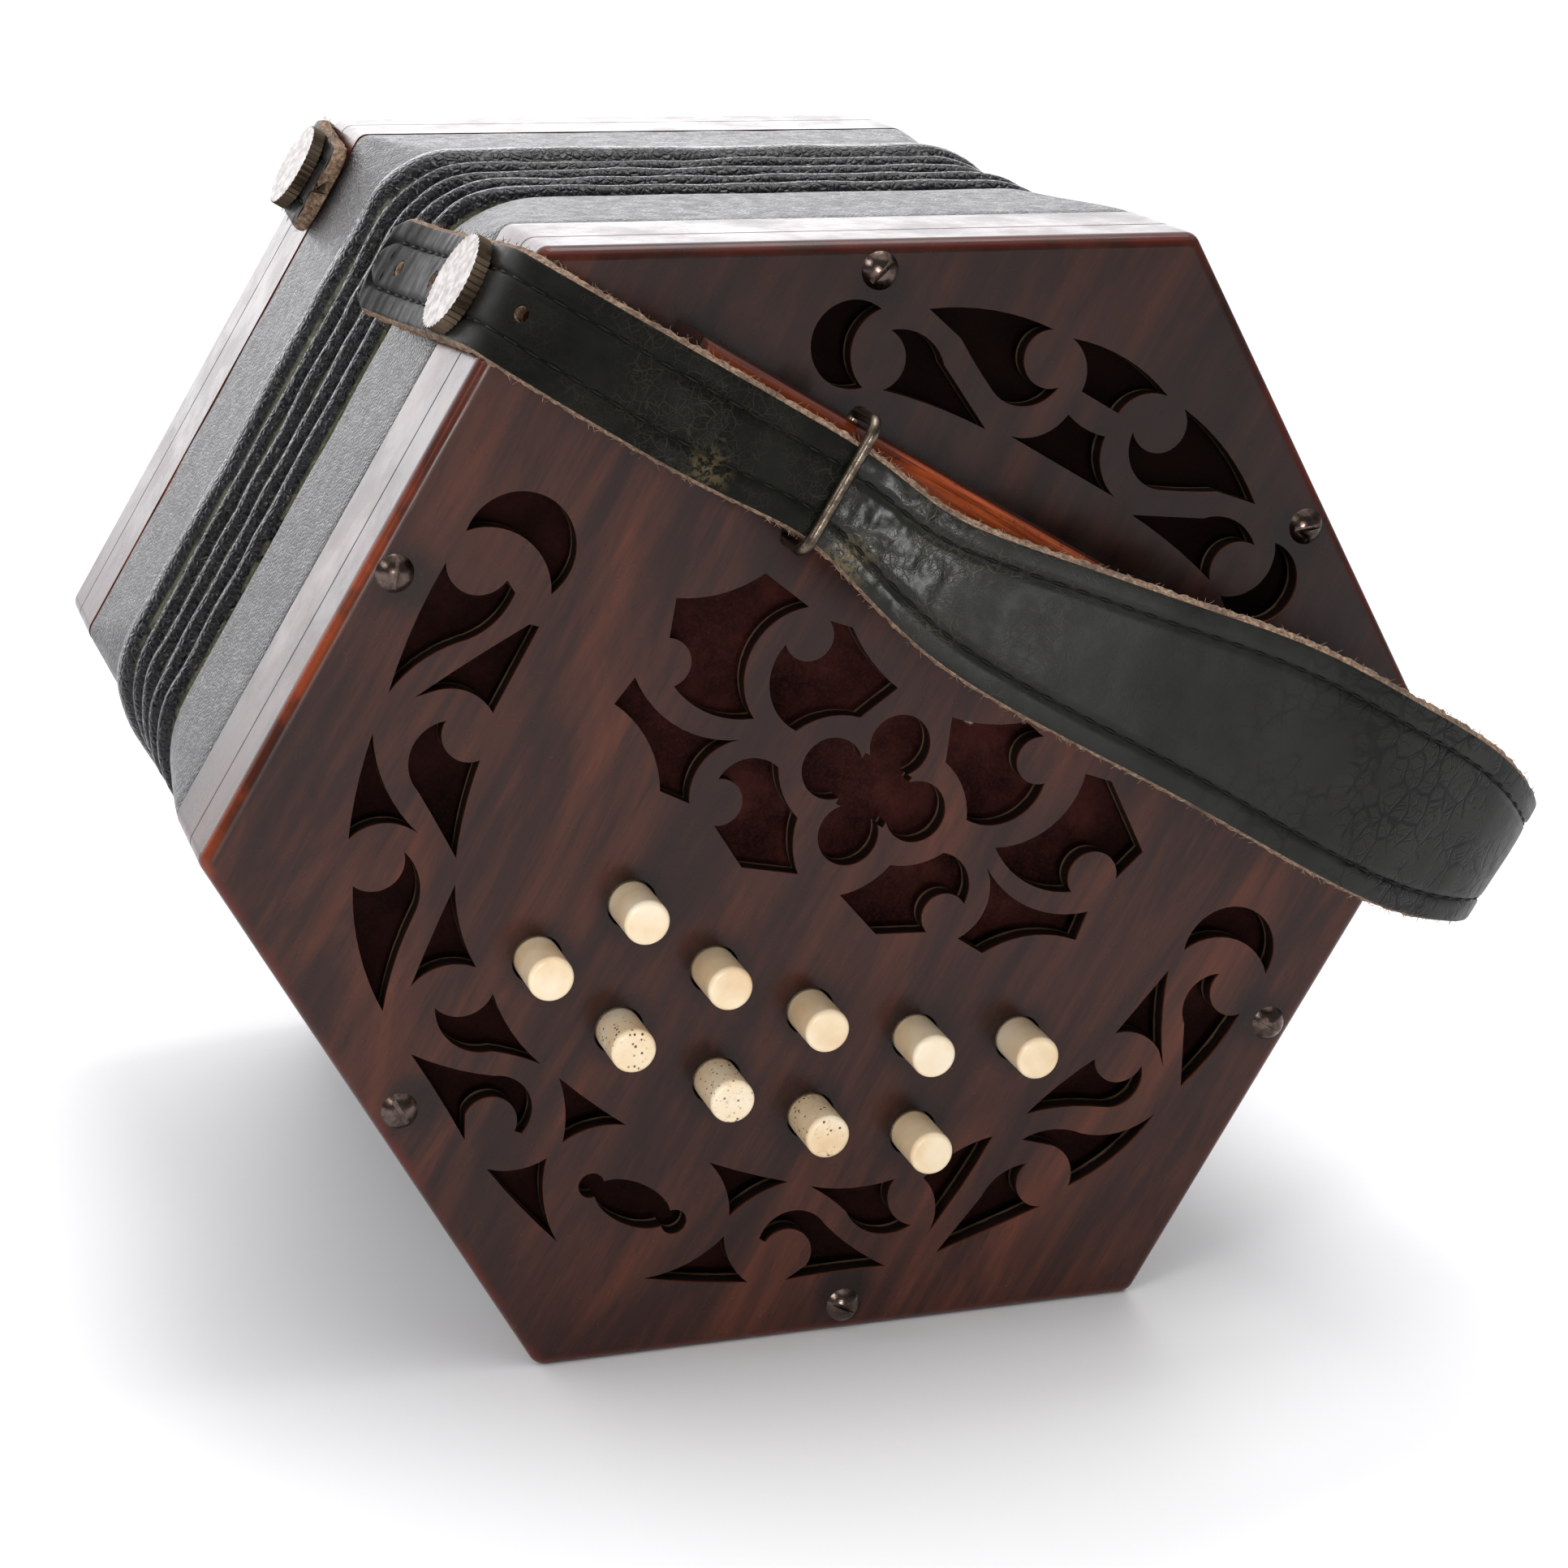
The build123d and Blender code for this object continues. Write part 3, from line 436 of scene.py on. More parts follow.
def rosewood():
    """French-polished rosewood: streaks along v on the plates and along each wall."""
    t = Tree("rosewood")
    mm = t.coordinates()
    turned = t.node("ShaderNodeTexCoord", output="Normal")
    facing = t.facing(ALONG)
    on_plate = t.math("GREATER_THAN", facing, 0.6)

    # Grain: on the plates as the playing frame lies, on each wall along its own length.
    raw_mm = t.stretched(t.node("ShaderNodeTexCoord", output="Object"), (1 / MM, 1 / MM, 1 / MM))
    along = t.vector("DOT_PRODUCT", raw_mm, t.vector("CROSS_PRODUCT", turned, ALONG))
    across = t.axis(mm, "Y")
    wall_mm = t.node("ShaderNodeCombineXYZ", {"X": across, "Y": 0.0, "Z": along})
    wood = t.node("ShaderNodeMix", {0: on_plate, 4: wall_mm, 5: mm}, 1, data_type="VECTOR")

    def drawn_out(squeeze):
        return t.stretched(wood, (1.0, 1.0, squeeze))

    figure = t.noise(drawn_out(0.22), 0.060, 5.0, 0.62, 1.4)
    streak = t.noise(drawn_out(0.06), 0.42, 5.0, 0.62, 0.35)
    fibre = t.noise(drawn_out(0.045), 3.0, 3.0, 0.6)
    pores = t.cells(drawn_out(0.10), 1.7)
    tone = t.plus(t.times(figure, 0.58), t.times(streak, 0.30))
    tone = t.plus(tone, t.times(fibre, 0.12))
    color = t.ramp(tone, [(0.37, (0.015, 0.0055, 0.0042)), (0.47, (0.028, 0.0090, 0.0062)),
                          (0.54, (0.050, 0.0145, 0.0085)), (0.66, (0.098, 0.0270, 0.0130))])
    pore = t.range(pores, 0.04, 0.15, 0.42, 1.0)
    color = t.mix(1.0, color, t.grey(pore), "MULTIPLY")
    stained = t.range(t.noise(mm, 0.5, 5.0, 0.7), 0.62, 0.72, 0.0, 0.55)
    color = t.mix(stained, color, (0.010, 0.0045, 0.0035))

    # Sawn walls of the fretwork: an orange line at the face, black polish, a pale band at the back edge.
    reach = hex_distance(t, mm)
    inner_wall = t.times(t.math("LESS_THAN", facing, 0.5), t.math("LESS_THAN", reach, FLAT - 3.0))
    below_face = t.math("SUBTRACT", END_FACE, t.math("ABSOLUTE", across))
    cut_color = t.mix(t.range(below_face, 0.2, 0.5), (0.150, 0.038, 0.013), (0.0075, 0.0045, 0.0035))
    uneven_depth = t.plus(below_face, t.noise(mm, 0.4, 3.0, 0.6))
    back_edge = t.range(uneven_depth, PLATE_BACK - 0.2, PLATE_BACK + 0.1)
    cut_color = t.mix(t.times(back_edge, 0.8), cut_color, (0.20, 0.13, 0.075))
    color = t.mix(t.times(inner_wall, 0.93), color, cut_color)

    # Painted shade round the bases of the buttons and bolts, painted shade with grime beside the rail, and
    # darker towards the top.
    ragged = t.times(t.noise(mm, 0.8, 4.0, 0.7), 2.4)
    sideways = t.axis(mm, "X")
    high_up = t.axis(mm, "Z")
    # Painted shade round the bases of buttons and bolts, where light can't reach.
    button_shade = t.plus(nearest(t, mm, node_places(BUTTONS)), ragged)
    bolt_shade = t.plus(nearest(t, mm, bolt_places()), ragged)
    shade_and_grime = t.math("MAXIMUM", t.range(button_shade, 3.6, 8.5, 0.85, 0.0),
                   t.range(bolt_shade, 3.2, 7.5, 0.75, 0.0))
    # Painted shade with grime along the rail.
    from_rail = t.plus(t.math("ABSOLUTE", t.math("SUBTRACT", high_up, RAIL_MIDDLE)), ragged)
    beside_rail = t.range(from_rail, 7.0, 14.0, 0.9, 0.0)
    rail_span = t.range(t.math("ABSOLUTE", sideways), 56.0, 64.0, 1.0, 0.0)
    shade_and_grime = t.math("MAXIMUM", shade_and_grime, t.times(beside_rail, rail_span))
    color = t.mix(t.times(shade_and_grime, on_plate), color, (0.0065, 0.0035, 0.003))
    darker_top = t.times(t.range(high_up, 42.0, 56.0, 0.0, 0.5), on_plate)
    color = t.mix(darker_top, color, (0.010, 0.005, 0.004))

    # The rim, worn through to red and, low on the left, to orange.
    rim = t.range(reach, FLAT - 1.9, FLAT - 0.6)
    patchy = t.range(t.noise(mm, 0.09, 4.0, 0.6), 0.36, 0.6, 0.15, 1.0)
    turned_edge = t.range(facing, 0.12, 0.35)
    left_flat = t.range(sideways, -76.0, -78.5)
    low_down = t.range(high_up, 20.0, -5.0, 0.15, 1.0)
    worn = t.times(t.times(rim, turned_edge), t.times(patchy, 0.85))
    rim_color = t.mix(t.times(left_flat, low_down), (0.080, 0.010, 0.005), (0.24, 0.042, 0.011))
    color = t.mix(worn, color, rim_color)

    # The seam round the walls, and the surface itself.
    seam = t.math("ABSOLUTE", t.math("SUBTRACT", below_face, BEZEL_DEPTH))
    outer = t.math("LESS_THAN", facing, 0.3)
    seam_dark = t.times(t.range(seam, 0.10, 0.38, 1.0, 0.0), outer)
    color = t.mix(seam_dark, color, (0.004, 0.003, 0.003))
    height = t.plus(t.times(fibre, 0.4), pore)
    grain = t.bump(height, 0.00004, t.range(facing, 0.3, 0.7, 0.07, 0.35))
    wave = t.noise(drawn_out(0.3), 0.12, 2.0, 0.5)
    wavy = t.bump(wave, 0.0005, t.range(facing, 0.3, 0.7, 0.03, 0.25), grain)
    rough = t.range(t.noise(mm, 0.11, 5.0, 0.65), 0.3, 0.7, 0.17, 0.30)
    rough = t.plus(rough, t.times(seam_dark, 0.4))
    rough = t.plus(rough, t.times(inner_wall, 0.25))
    return t.finish(Base_Color=color, Roughness=rough, Normal=wavy, IOR=1.34)


def rail_wood():
    """Redder polished wood: bright red-orange on top, dark red past the loop; its sides nearly black, painted
    shade with grime.
    """
    t = Tree("rail_wood")
    mm = t.coordinates()
    streak = t.noise(t.stretched(mm, (0.05, 1.0, 1.0)), 0.5, 4.0, 0.6, 0.3)
    fibre = t.noise(t.stretched(mm, (0.05, 1.0, 1.0)), 3.0, 2.0)
    tone = t.plus(t.times(streak, 0.7), t.times(fibre, 0.3))
    color = t.ramp(tone, [(0.36, (0.10, 0.018, 0.006)), (0.5, (0.30, 0.055, 0.012)),
                          (0.64, (0.50, 0.125, 0.025))])
    color = t.mix(t.range(t.axis(mm, "X"), -31.0, -23.0, 0.72, 0.0), color, (0.030, 0.004, 0.002))
    spots = t.range(t.noise(mm, 0.7, 5.0, 0.75), 0.56, 0.70, 0.0, 0.8)
    color = t.mix(spots, color, (0.030, 0.009, 0.005))
    # Sides darkened nearly to black: painted shade, with grime.
    color = t.mix(t.range(t.facing(ALONG), 0.35, 0.75, 0.93, 0.0), color, (0.014, 0.005, 0.004))
    return t.finish(Base_Color=color, Roughness=0.24, IOR=1.26, Normal=t.bump(fibre, 0.00004, 0.3))


def leather(name, dark, light, grain_scale, roughness, relief, ior):
    """Grained black leather; vertices marked 'edge' show its paler raw edge."""
    t = Tree(name)
    mm = t.coordinates()
    patch = t.noise(mm, 0.06, 5.0, 0.6)
    fine = t.noise(mm, grain_scale * 1.7, 4.0, 0.6, 0.4)
    cells = t.cells(mm, grain_scale, "DISTANCE_TO_EDGE")
    color = t.mix(t.range(patch, 0.35, 0.7), dark, light)
    scuffed = t.times(t.range(t.noise(mm, 0.35, 6.0, 0.75), 0.60, 0.74), 0.35)
    color = t.mix(scuffed, color, (0.08, 0.08, 0.07))
    raw_here = t.range(t.noise(mm, 0.16, 5.0, 0.72), 0.36, 0.54)
    raw = t.times(t.range(t.attribute("edge"), 0.55, 0.9), raw_here)
    color = t.mix(t.times(raw, 0.85), color, (0.15, 0.15, 0.085))
    height = t.plus(t.range(cells, 0.0, 0.28), t.times(fine, 0.9))
    bumps = t.bump(height, 0.00011, relief)
    low, high = roughness
    rough = t.range(t.noise(mm, 0.4, 4.0, 0.6), 0.3, 0.7, low, high)
    return t.finish(Base_Color=color, Roughness=rough, Normal=bumps, IOR=ior)


def strap_leather(name, dark, light, ior):
    """Smooth black leather: pale crackle by the wire loop, dark cracks over the hand's bend.

    Its attributes: 'wear' bares the tan, 'gloss' is polish, 'crackle' and 'cracks' place each kind of ageing.
    """
    t = Tree(name)
    mm = t.coordinates()
    patch = t.noise(mm, 0.05, 5.0, 0.6)
    color = t.mix(t.range(patch, 0.35, 0.7), dark, light)
    jitter = t.node("ShaderNodeTexNoise", {"Vector": mm, "Scale": 0.30, "Detail": 1.5}, 1)
    bent = t.vector("ADD", mm, t.vector("MULTIPLY", jitter, (2.2, 2.2, 2.2)))
    net = t.cells(bent, 0.62, "DISTANCE_TO_EDGE")
    fine_net = t.cells(bent, 1.25, "DISTANCE_TO_EDGE")
    split = t.cells(t.stretched(bent, (1.0, 1.0, 0.62)), 0.34, "DISTANCE_TO_EDGE")
    fine = t.noise(mm, 2.2, 5.0, 0.65)
    here = t.range(t.noise(mm, 0.13, 4.0, 0.6), 0.38, 0.56)
    crackle = t.math("MAXIMUM", t.range(net, 0.0, 0.045, 1.0, 0.0), t.range(fine_net, 0.0, 0.06, 0.6, 0.0))
    crackle = t.times(crackle, t.times(t.attribute("crackle"), here))
    cracks = t.math("MAXIMUM", t.range(split, 0.015, 0.110, 1.0, 0.0), t.range(net, 0.0, 0.085, 0.8, 0.0))
    cracks = t.times(cracks, t.times(t.attribute("cracks"), here))
    worn = t.times(t.attribute("wear"), t.range(t.noise(mm, 0.9, 5.0, 0.7), 0.44, 0.56))
    color = t.mix(t.times(crackle, 0.6), color, (0.070, 0.065, 0.045))
    color = t.mix(t.times(cracks, 0.95), color, (0.0012, 0.0012, 0.0010))
    specks = t.times(t.range(t.noise(mm, 1.3, 5.0, 0.75), 0.70, 0.78), 0.3)
    color = t.mix(specks, color, (0.055, 0.055, 0.045))
    color = t.mix(t.times(worn, 0.8), color, (0.20, 0.15, 0.07))
    height = t.math("SUBTRACT", t.times(fine, 0.30), t.times(crackle, 0.3))
    height = t.math("SUBTRACT", height, t.times(cracks, 0.8))
    wander = t.noise(mm, 0.20, 1.6, 0.5)
    bends = t.range(t.attribute("gloss"), 0.0, 1.0, 0.08, 0.7)
    relief = t.bump(height, 0.00010, 0.7, t.bump(wander, 0.0012, bends))
    rough = t.range(t.noise(mm, 0.4, 4.0, 0.6), 0.3, 0.7, 0.34, 0.46)
    rough = t.times(rough, t.range(t.attribute("gloss"), 0.1, 0.9, 1.0, 0.42))
    return t.finish(Base_Color=color, Roughness=rough, Normal=relief, IOR=ior)


def raw_leather():
    """Fibrous tan edge of the strap."""
    t = Tree("raw_leather")
    mm = t.coordinates()
    fibre = t.noise(mm, 1.6, 5.0, 0.7)
    stain = t.noise(mm, 0.13, 4.0, 0.6)
    color = t.ramp(fibre, [(0.34, (0.06, 0.026, 0.014)), (0.5, (0.19, 0.115, 0.070)),
                           (0.66, (0.38, 0.27, 0.18))])
    color = t.mix(t.range(stain, 0.45, 0.7, 0.0, 0.7), color, (0.045, 0.022, 0.012))
    return t.finish(Base_Color=color, Roughness=0.85, Normal=t.bump(fibre, 0.0002, 0.8))


def thread():
    """Black waxed thread of the strap's stitches."""
    t = Tree("waxed_thread")
    fibre = t.noise(t.coordinates(), 5.0, 2.0)
    color = t.mix(fibre, (0.0025, 0.0025, 0.0025), (0.010, 0.010, 0.009))
    return t.finish(Base_Color=color, Roughness=0.6, Normal=t.bump(fibre, 0.0001, 0.6), IOR=1.25)


def baffle_leather():
    """Thin maroon leather behind the fretwork: darker outwards and upwards, with one pale tear."""
    t = Tree("baffle_leather")
    mm = t.coordinates()
    patch = t.noise(mm, 0.12, 5.0, 0.65)
    nap = t.noise(mm, 1.8, 5.0, 0.7)
    color = t.ramp(patch, [(0.32, (0.008, 0.0025, 0.002)), (0.5, (0.028, 0.0075, 0.006)),
                           (0.7, (0.060, 0.0160, 0.013))])
    color = t.mix(t.range(nap, 0.4, 0.75, 0.0, 0.4), color, (0.080, 0.026, 0.020))
    # Darker upwards, above the rail: painted shade with grime.
    color = t.mix(t.range(t.axis(mm, "Z"), 20.0, 40.0, 0.0, 0.85), color, (0.004, 0.0018, 0.0015))
    outwards = t.vector("LENGTH", t.vector("MULTIPLY", mm, (1.0, 0.0, 1.0)))
    color = t.mix(t.range(outwards, 30.0, 46.0, 0.0, 0.62), color, (0.006, 0.0025, 0.002))
    from_tear = t.vector("DISTANCE", mm, (10.0, BAFFLE_DEPTH - END_FACE, 18.5))
    ragged = t.plus(from_tear, t.times(t.noise(mm, 1.2, 4.0, 0.7), 3.0))
    color = t.mix(t.range(ragged, 2.2, 2.8, 1.0, 0.0), color, (0.42, 0.33, 0.22))
    return t.finish(Base_Color=color, Roughness=0.82, Normal=t.bump(nap, 0.0002, 0.8), IOR=1.15)


def bone():
    """Polished bone with fine dark pores, thicker on some buttons."""
    t = Tree("bone")
    mm = t.coordinates()
    cloud = t.noise(mm, 0.16, 3.0, 0.5)
    color = t.ramp(cloud, [(0.3, (0.78, 0.56, 0.33)), (0.5, (0.87, 0.69, 0.46)), (0.7, (0.92, 0.79, 0.60))])
    worst = nearest(t, mm, node_places(DIRTY_BUTTONS))
    dirt = t.range(worst, 9.5, 12.0, 1.0, 0.0)
    grains = t.cells(mm, 2.4)
    speck_here = t.range(t.noise(mm, 0.35, 3.0, 0.6), 0.40, 0.58)
    speck = t.range(t.cells(mm, 1.2), 0.17, 0.29, 1.0, 0.0)
    speck = t.times(speck, t.times(dirt, speck_here))
    streaks = t.range(t.noise(t.stretched(mm, (1.0, 0.25, 1.0)), 1.1, 4.0, 0.65), 0.56, 0.72, 0.0, 0.6)
    color = t.mix(t.times(streaks, t.times(dirt, 0.8)), color, (0.42, 0.25, 0.11))
    color = t.mix(speck, color, (0.075, 0.035, 0.015))
    faint = t.times(t.range(t.cells(mm, 1.6), 0.05, 0.10, 1.0, 0.0), 0.35)
    color = t.mix(faint, color, (0.45, 0.28, 0.13))
    return t.finish(Base_Color=color, Roughness=0.24, IOR=1.54, Subsurface_Weight=0.15,
                    Subsurface_Radius=(0.002, 0.0013, 0.0008), Subsurface_Scale=1.0,
                    Normal=t.bump(grains, 0.00003, 0.12))


def metal(name, bright, dull, spots, roughness, side_tone=None):
    """Aged metal: brighter where rubbed, dull and spotted elsewhere, darker on a knurled side."""
    t = Tree(name)
    mm = t.coordinates()
    haze = t.noise(mm, spots, 5.0, 0.65)
    scratches = t.noise(mm, 4.0, 3.0)
    color = t.mix(t.range(haze, 0.38, 0.64), bright, dull)
    if side_tone is not None:
        wall = (-math.cos(TILT), 0.0, math.sin(TILT))
        color = t.mix(t.range(t.facing(wall), 0.5, 0.8, 0.92, 0.0), color, side_tone)
    low, high = roughness
    rough = t.range(haze, 0.35, 0.65, low, high)
    return t.finish(Base_Color=color, Roughness=rough, Metallic=1.0, Normal=t.bump(scratches, 0.00004, 0.4))


def plain_wood():
    """Unvarnished softwood of the parts inside."""
    t = Tree("spruce")
    mm = t.coordinates()
    lines = t.noise(t.stretched(mm, (1.0, 1.0, 0.04)), 0.9, 3.0, 0.6, 0.2)
    color = t.ramp(lines, [(0.35, (0.32, 0.20, 0.10)), (0.5, (0.52, 0.36, 0.20)), (0.65, (0.64, 0.48, 0.30))])
    return t.finish(Base_Color=color, Roughness=0.65, Normal=t.bump(lines, 0.0001, 0.4))


MATERIALS = {
    "rosewood": rosewood(),
    "rail_wood": rail_wood(),
    "spruce": plain_wood(),
    "baffle_leather": baffle_leather(),
    "bellows_leather": leather(
        "bellows_leather", (0.0020, 0.0022, 0.003), (0.0055, 0.006, 0.0075), grain_scale=0.9,
        roughness=(0.13, 0.26), relief=0.9, ior=1.36),
    "strap_leather": strap_leather(
        "strap_leather", (0.0100, 0.0100, 0.0085), (0.0190, 0.0190, 0.0160), ior=1.26),
    "bone": bone(),
    "steel": metal(
        "steel", (0.13, 0.095, 0.082), (0.050, 0.034, 0.028), spots=0.45, roughness=(0.16, 0.30)),
    "nickel": metal(
        "nickel", (0.225, 0.210, 0.200), (0.19, 0.172, 0.160), spots=0.8, roughness=(0.36, 0.48),
        side_tone=(0.10, 0.07, 0.045)),
    "dark_brass": metal(
        "dark_brass", (0.15, 0.12, 0.09), (0.06, 0.045, 0.035), spots=0.7, roughness=(0.25, 0.42)),
    "brass": metal(
        "brass", (0.74, 0.52, 0.22), (0.46, 0.30, 0.12), spots=0.3, roughness=(0.25, 0.4)),
}
FRAME_LEATHER = leather(
    "frame_leather", (0.012, 0.012, 0.012), (0.028, 0.028, 0.028), grain_scale=1.3,
    roughness=(0.26, 0.40), relief=1.0, ior=1.38)
RAW_LEATHER = raw_leather()
THREAD = thread()
# A darker copy of the strap's leather: painted shade on the tail, on the part up to the loop and on the
# lining.
SHADED_STRAP_LEATHER = strap_leather(     # duller: the tail, the part up to the loop, and the lining
    "strap_shaded_leather", (0.0060, 0.0060, 0.0050), (0.0120, 0.0120, 0.0098), ior=1.13)


def dress_frame():
    """Give every CAD node the material of its slot in the record."""
    for part in frame["record"]["subparts"]:
        mesh = frame["nodes"][part["node"]].data
        mesh.materials.clear()
        mesh.materials.append(MATERIALS[part["material_slot"]])


# ---- leather-covered bellows frames ----
def bellows_frame(side, word):
    """Leather glued over the frame, its corners opening into wide curves at the bellows."""
    wood = FRAME_OUTER_Y
    inner = FRAME_INNER_Y
    span = wood - inner
    rows = [    # apothem, corner radius, distance from the middle, raw-edge mark
        (APOTHEM - 6.5 * MM, FRAME_WOOD_CORNER, wood, 0.0),
        (APOTHEM - 0.7 * MM, FRAME_WOOD_CORNER, wood, 0.0),
        (APOTHEM - 0.35 * MM, FRAME_WOOD_CORNER, wood - 0.25 * MM, 0.2),
        (APOTHEM - 0.1 * MM, FRAME_WOOD_CORNER, wood - 0.8 * MM, 0.0),
    ]
    for i in range(1, FRAME_STEPS + 1):
        share = i / FRAME_STEPS
        corner = FRAME_WOOD_CORNER + (FRAME_BELLOWS_CORNER - FRAME_WOOD_CORNER) * share ** 1.15
        rows.append((APOTHEM, corner, wood - 0.8 * MM - (span - 2.2 * MM) * share, 0.0))
    rows += [
        (APOTHEM - 0.12 * MM, FRAME_BELLOWS_CORNER, inner + 0.8 * MM, 0.35),
        (APOTHEM - 0.4 * MM, FRAME_BELLOWS_CORNER, inner + 0.35 * MM, 0.9),
        (APOTHEM - 0.9 * MM, FRAME_BELLOWS_CORNER, inner + 0.06 * MM, 1.0),
        (APOTHEM - 1.6 * MM, FRAME_BELLOWS_CORNER, inner, 0.6),
        (APOTHEM - 7.0 * MM, FRAME_BELLOWS_CORNER - 2 * MM, inner, 0.0),
    ]
    rows = [(apothem, corner, side * y, value) for apothem, corner, y, value in rows]
    obj = ring(word + "_frame_leather", rows, FRAME_LEATHER, wobble=0.12 * MM, wobble_size=9 * MM)
    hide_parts(word + "_bellows_frame")
    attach(obj, word + "_end")


# ---- bellows ----
def crest_rows(number, at_y, apothem, way):
    """One half of a crest, from its top down; way is 1 for the half towards the right end."""
    wide = LAST_CREST_WIDTH if number == FOLD_COUNT else 1.0
    return [(apothem - drop * MM, RIDGE_CORNER, at_y + way * along * wide * MM, value)
            for along, drop, value in CREST_SECTION]


def bellows_segments():
    """Six sleeves, each from one crest to the next."""
    y0 = -FRAME_INNER_Y
    crest_y = [y0 + at * MM for at, height in CRESTS]
    crest_a = [APOTHEM + height * MM for at, height in CRESTS]
    for k in range(FOLD_COUNT + 1):
        if k == 0:
            start = (y0, APOTHEM - FIRST_DROP)
            rows = [(start[1], RIDGE_CORNER, start[0], 0.0),
                    (start[1] - 0.5 * MM, RIDGE_CORNER, y0 + 1.2 * MM, 0.0)]
        else:
            start = (crest_y[k - 1], crest_a[k - 1])
            rows = crest_rows(k, *start, 1)
        if k == FOLD_COUNT:
            end = (-y0, APOTHEM - LAST_DROP)
            rows.append((end[1], RIDGE_CORNER, end[0], 0.0))
        else:
            end = (crest_y[k], crest_a[k])
            rows.append((APOTHEM - VALLEY_DROP, RIDGE_CORNER, (start[0] + end[0]) / 2, 0.0))
            rows += reversed(crest_rows(k + 1, *end, -1))
        inside = [(apothem - SKIN, corner, y, 0.0) for apothem, corner, y, value in reversed(rows)]
        name = f"bellows_sleeve_{k + 1}"
        obj = ring(name, rows + inside, MATERIALS["bellows_leather"], wobble=0.35 * MM, wobble_size=7 * MM)
        if k < FOLD_COUNT:
            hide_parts(f"bellows_fold_{k + 1}")
        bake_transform(obj)


# ---- hand straps ----
def strap_lines(side):
    """Stations along the strap: underside (u, h), outward normal, low and high v, run from the tail."""
    path = smooth_curve(STRAP_PATH, STRAP_STATIONS)
    if side > 0:
        path = path[path[:, 1] + (path[:, 0] > 0) * RIGHT_TAIL_MARGIN > -RIGHT_TAIL]
    low = smooth_curve(STRAP_LOWER, EDGE_STATIONS)
    high = smooth_curve(STRAP_UPPER, EDGE_STATIONS)
    run = np.concatenate([[0], np.cumsum(np.linalg.norm(np.diff(path, axis=0), axis=1))])
    tangent = np.gradient(path, axis=0)
    tangent /= np.linalg.norm(tangent, axis=1)[:, None]
    normal = np.stack([-tangent[:, 1], tangent[:, 0]], axis=1)
    slant = np.where(path[:, 0] < 0, TAIL_SLANT * np.minimum(path[:, 1], 0.0), 0.0)
    v_low = np.interp(path[:, 0], low[:, 0], low[:, 1]) + slant
    v_high = np.interp(path[:, 0], high[:, 0], high[:, 1]) + slant
    return path, normal, v_low, v_high, run


def strap_section(width):
    """Section of the strap as (distance from the low edge, height, part), with parts numbered
    as in FACE, RAW_EDGE, UNDERSIDE. The raw edges slope out under the finished face."""
    inset = STITCH_INSET
    half = [(0.05, -0.12), (0.5, 0.0), (2.6, 0.05), (inset - 0.6, 0.02), (inset - 0.22, -0.28),
            (inset, -0.42), (inset + 0.22, -0.28), (inset + 0.6, 0.02), (inset + 1.4, 0.1)]
    slope = [(1.0, STRAP_T - 0.3), (0.5, STRAP_T - 0.7), (0.1, STRAP_T - 1.1), (0.0, 0.7), (0.15, 0.15)]
    middle = width - 2 * half[-1][0]

    def face_half(slope_reach):
        return [(e + (slope_reach if e < 1 else 0.0), STRAP_T + lift) for e, lift in half]

    top = [(e, h, FACE) for e, h in face_half(LOW_EDGE)]
    top += [(half[-1][0] + middle * k / 6, STRAP_T + 0.14, FACE) for k in range(1, 6)]
    top += [(width - e, h, FACE) for e, h in reversed(face_half(HIGH_EDGE))]
    right = [(width - e * HIGH_EDGE, h, RAW_EDGE) for e, h in slope]
    under = [(width - 0.5, 0.0, UNDERSIDE), (width * 0.5, 0.0, UNDERSIDE), (0.5, 0.0, UNDERSIDE)]
    left = [(e * LOW_EDGE, h, RAW_EDGE) for e, h in reversed(slope)]
    return top + right + under + left


def tail_share(run, width):
    """How much of its width the strap has, that far from its tail's tip."""
    corner = STRAP_TAIL_CORNER
    if run >= corner:
        return 1.0
    cut = corner - math.sqrt(max(corner ** 2 - (corner - run) ** 2, 0.0))
    return max(1 - 2 * cut / width, 0.3)


def near(u, v, spot, reach):
    """1 at a spot (u, v) of the strap, falling to 0 at the given distance from it."""
    return max(0.0, 1 - math.hypot(u - spot[0], v - spot[1]) / reach)


def strap_ripple(u, v, h, run):
    """Unevenness of the finished face: soft dents everywhere, creases where it bends and on its tail."""
    spot = Vector((u, v, h))
    lift = 0.22 * noise.noise(spot / 10.0) + 0.05 * noise.noise(spot / 3.2)
    lift += 0.22 * near(u, v, *LOOP_CREASES) * noise.noise(Vector((run / 1.8, v / 6.0, 3.0)))
    lift += 0.30 * near(u, v, *PINCH_CREASES) * noise.noise(Vector((run / 2.6, v / 8.0, 7.0)))
    start, fade = CREASED_TAIL
    on_tail = max(0.0, min(1.0, (-h - start) / fade)) if u < 0 else 0.0
    lift += 0.13 * on_tail * noise.noise(Vector((run / 1.15, v / 9.0, 5.0)))
    return lift


def strap_marks(u, v, station_u, part):
    """Values of the four attributes that the strap's leather reads, at one point."""
    worn = max(amount * near(u, v, spot, reach) for spot, reach, amount in WORN_SPOTS)
    creased = max(amount * near(u, v, spot, reach) for spot, reach, amount in CRACKLE_SPOTS)
    start, fade = CRACKS_FADE_IN
    return {
        "wear": worn if part == FACE else 0.0,
        "gloss": min(1.0, 1.6 * near(u, v, *GLOSS_SPOT)),
        "crackle": min(1.0, 0.12 + 1.5 * creased),
        "cracks": min(1.0, max(0.10, (station_u - start) / fade)),
    }


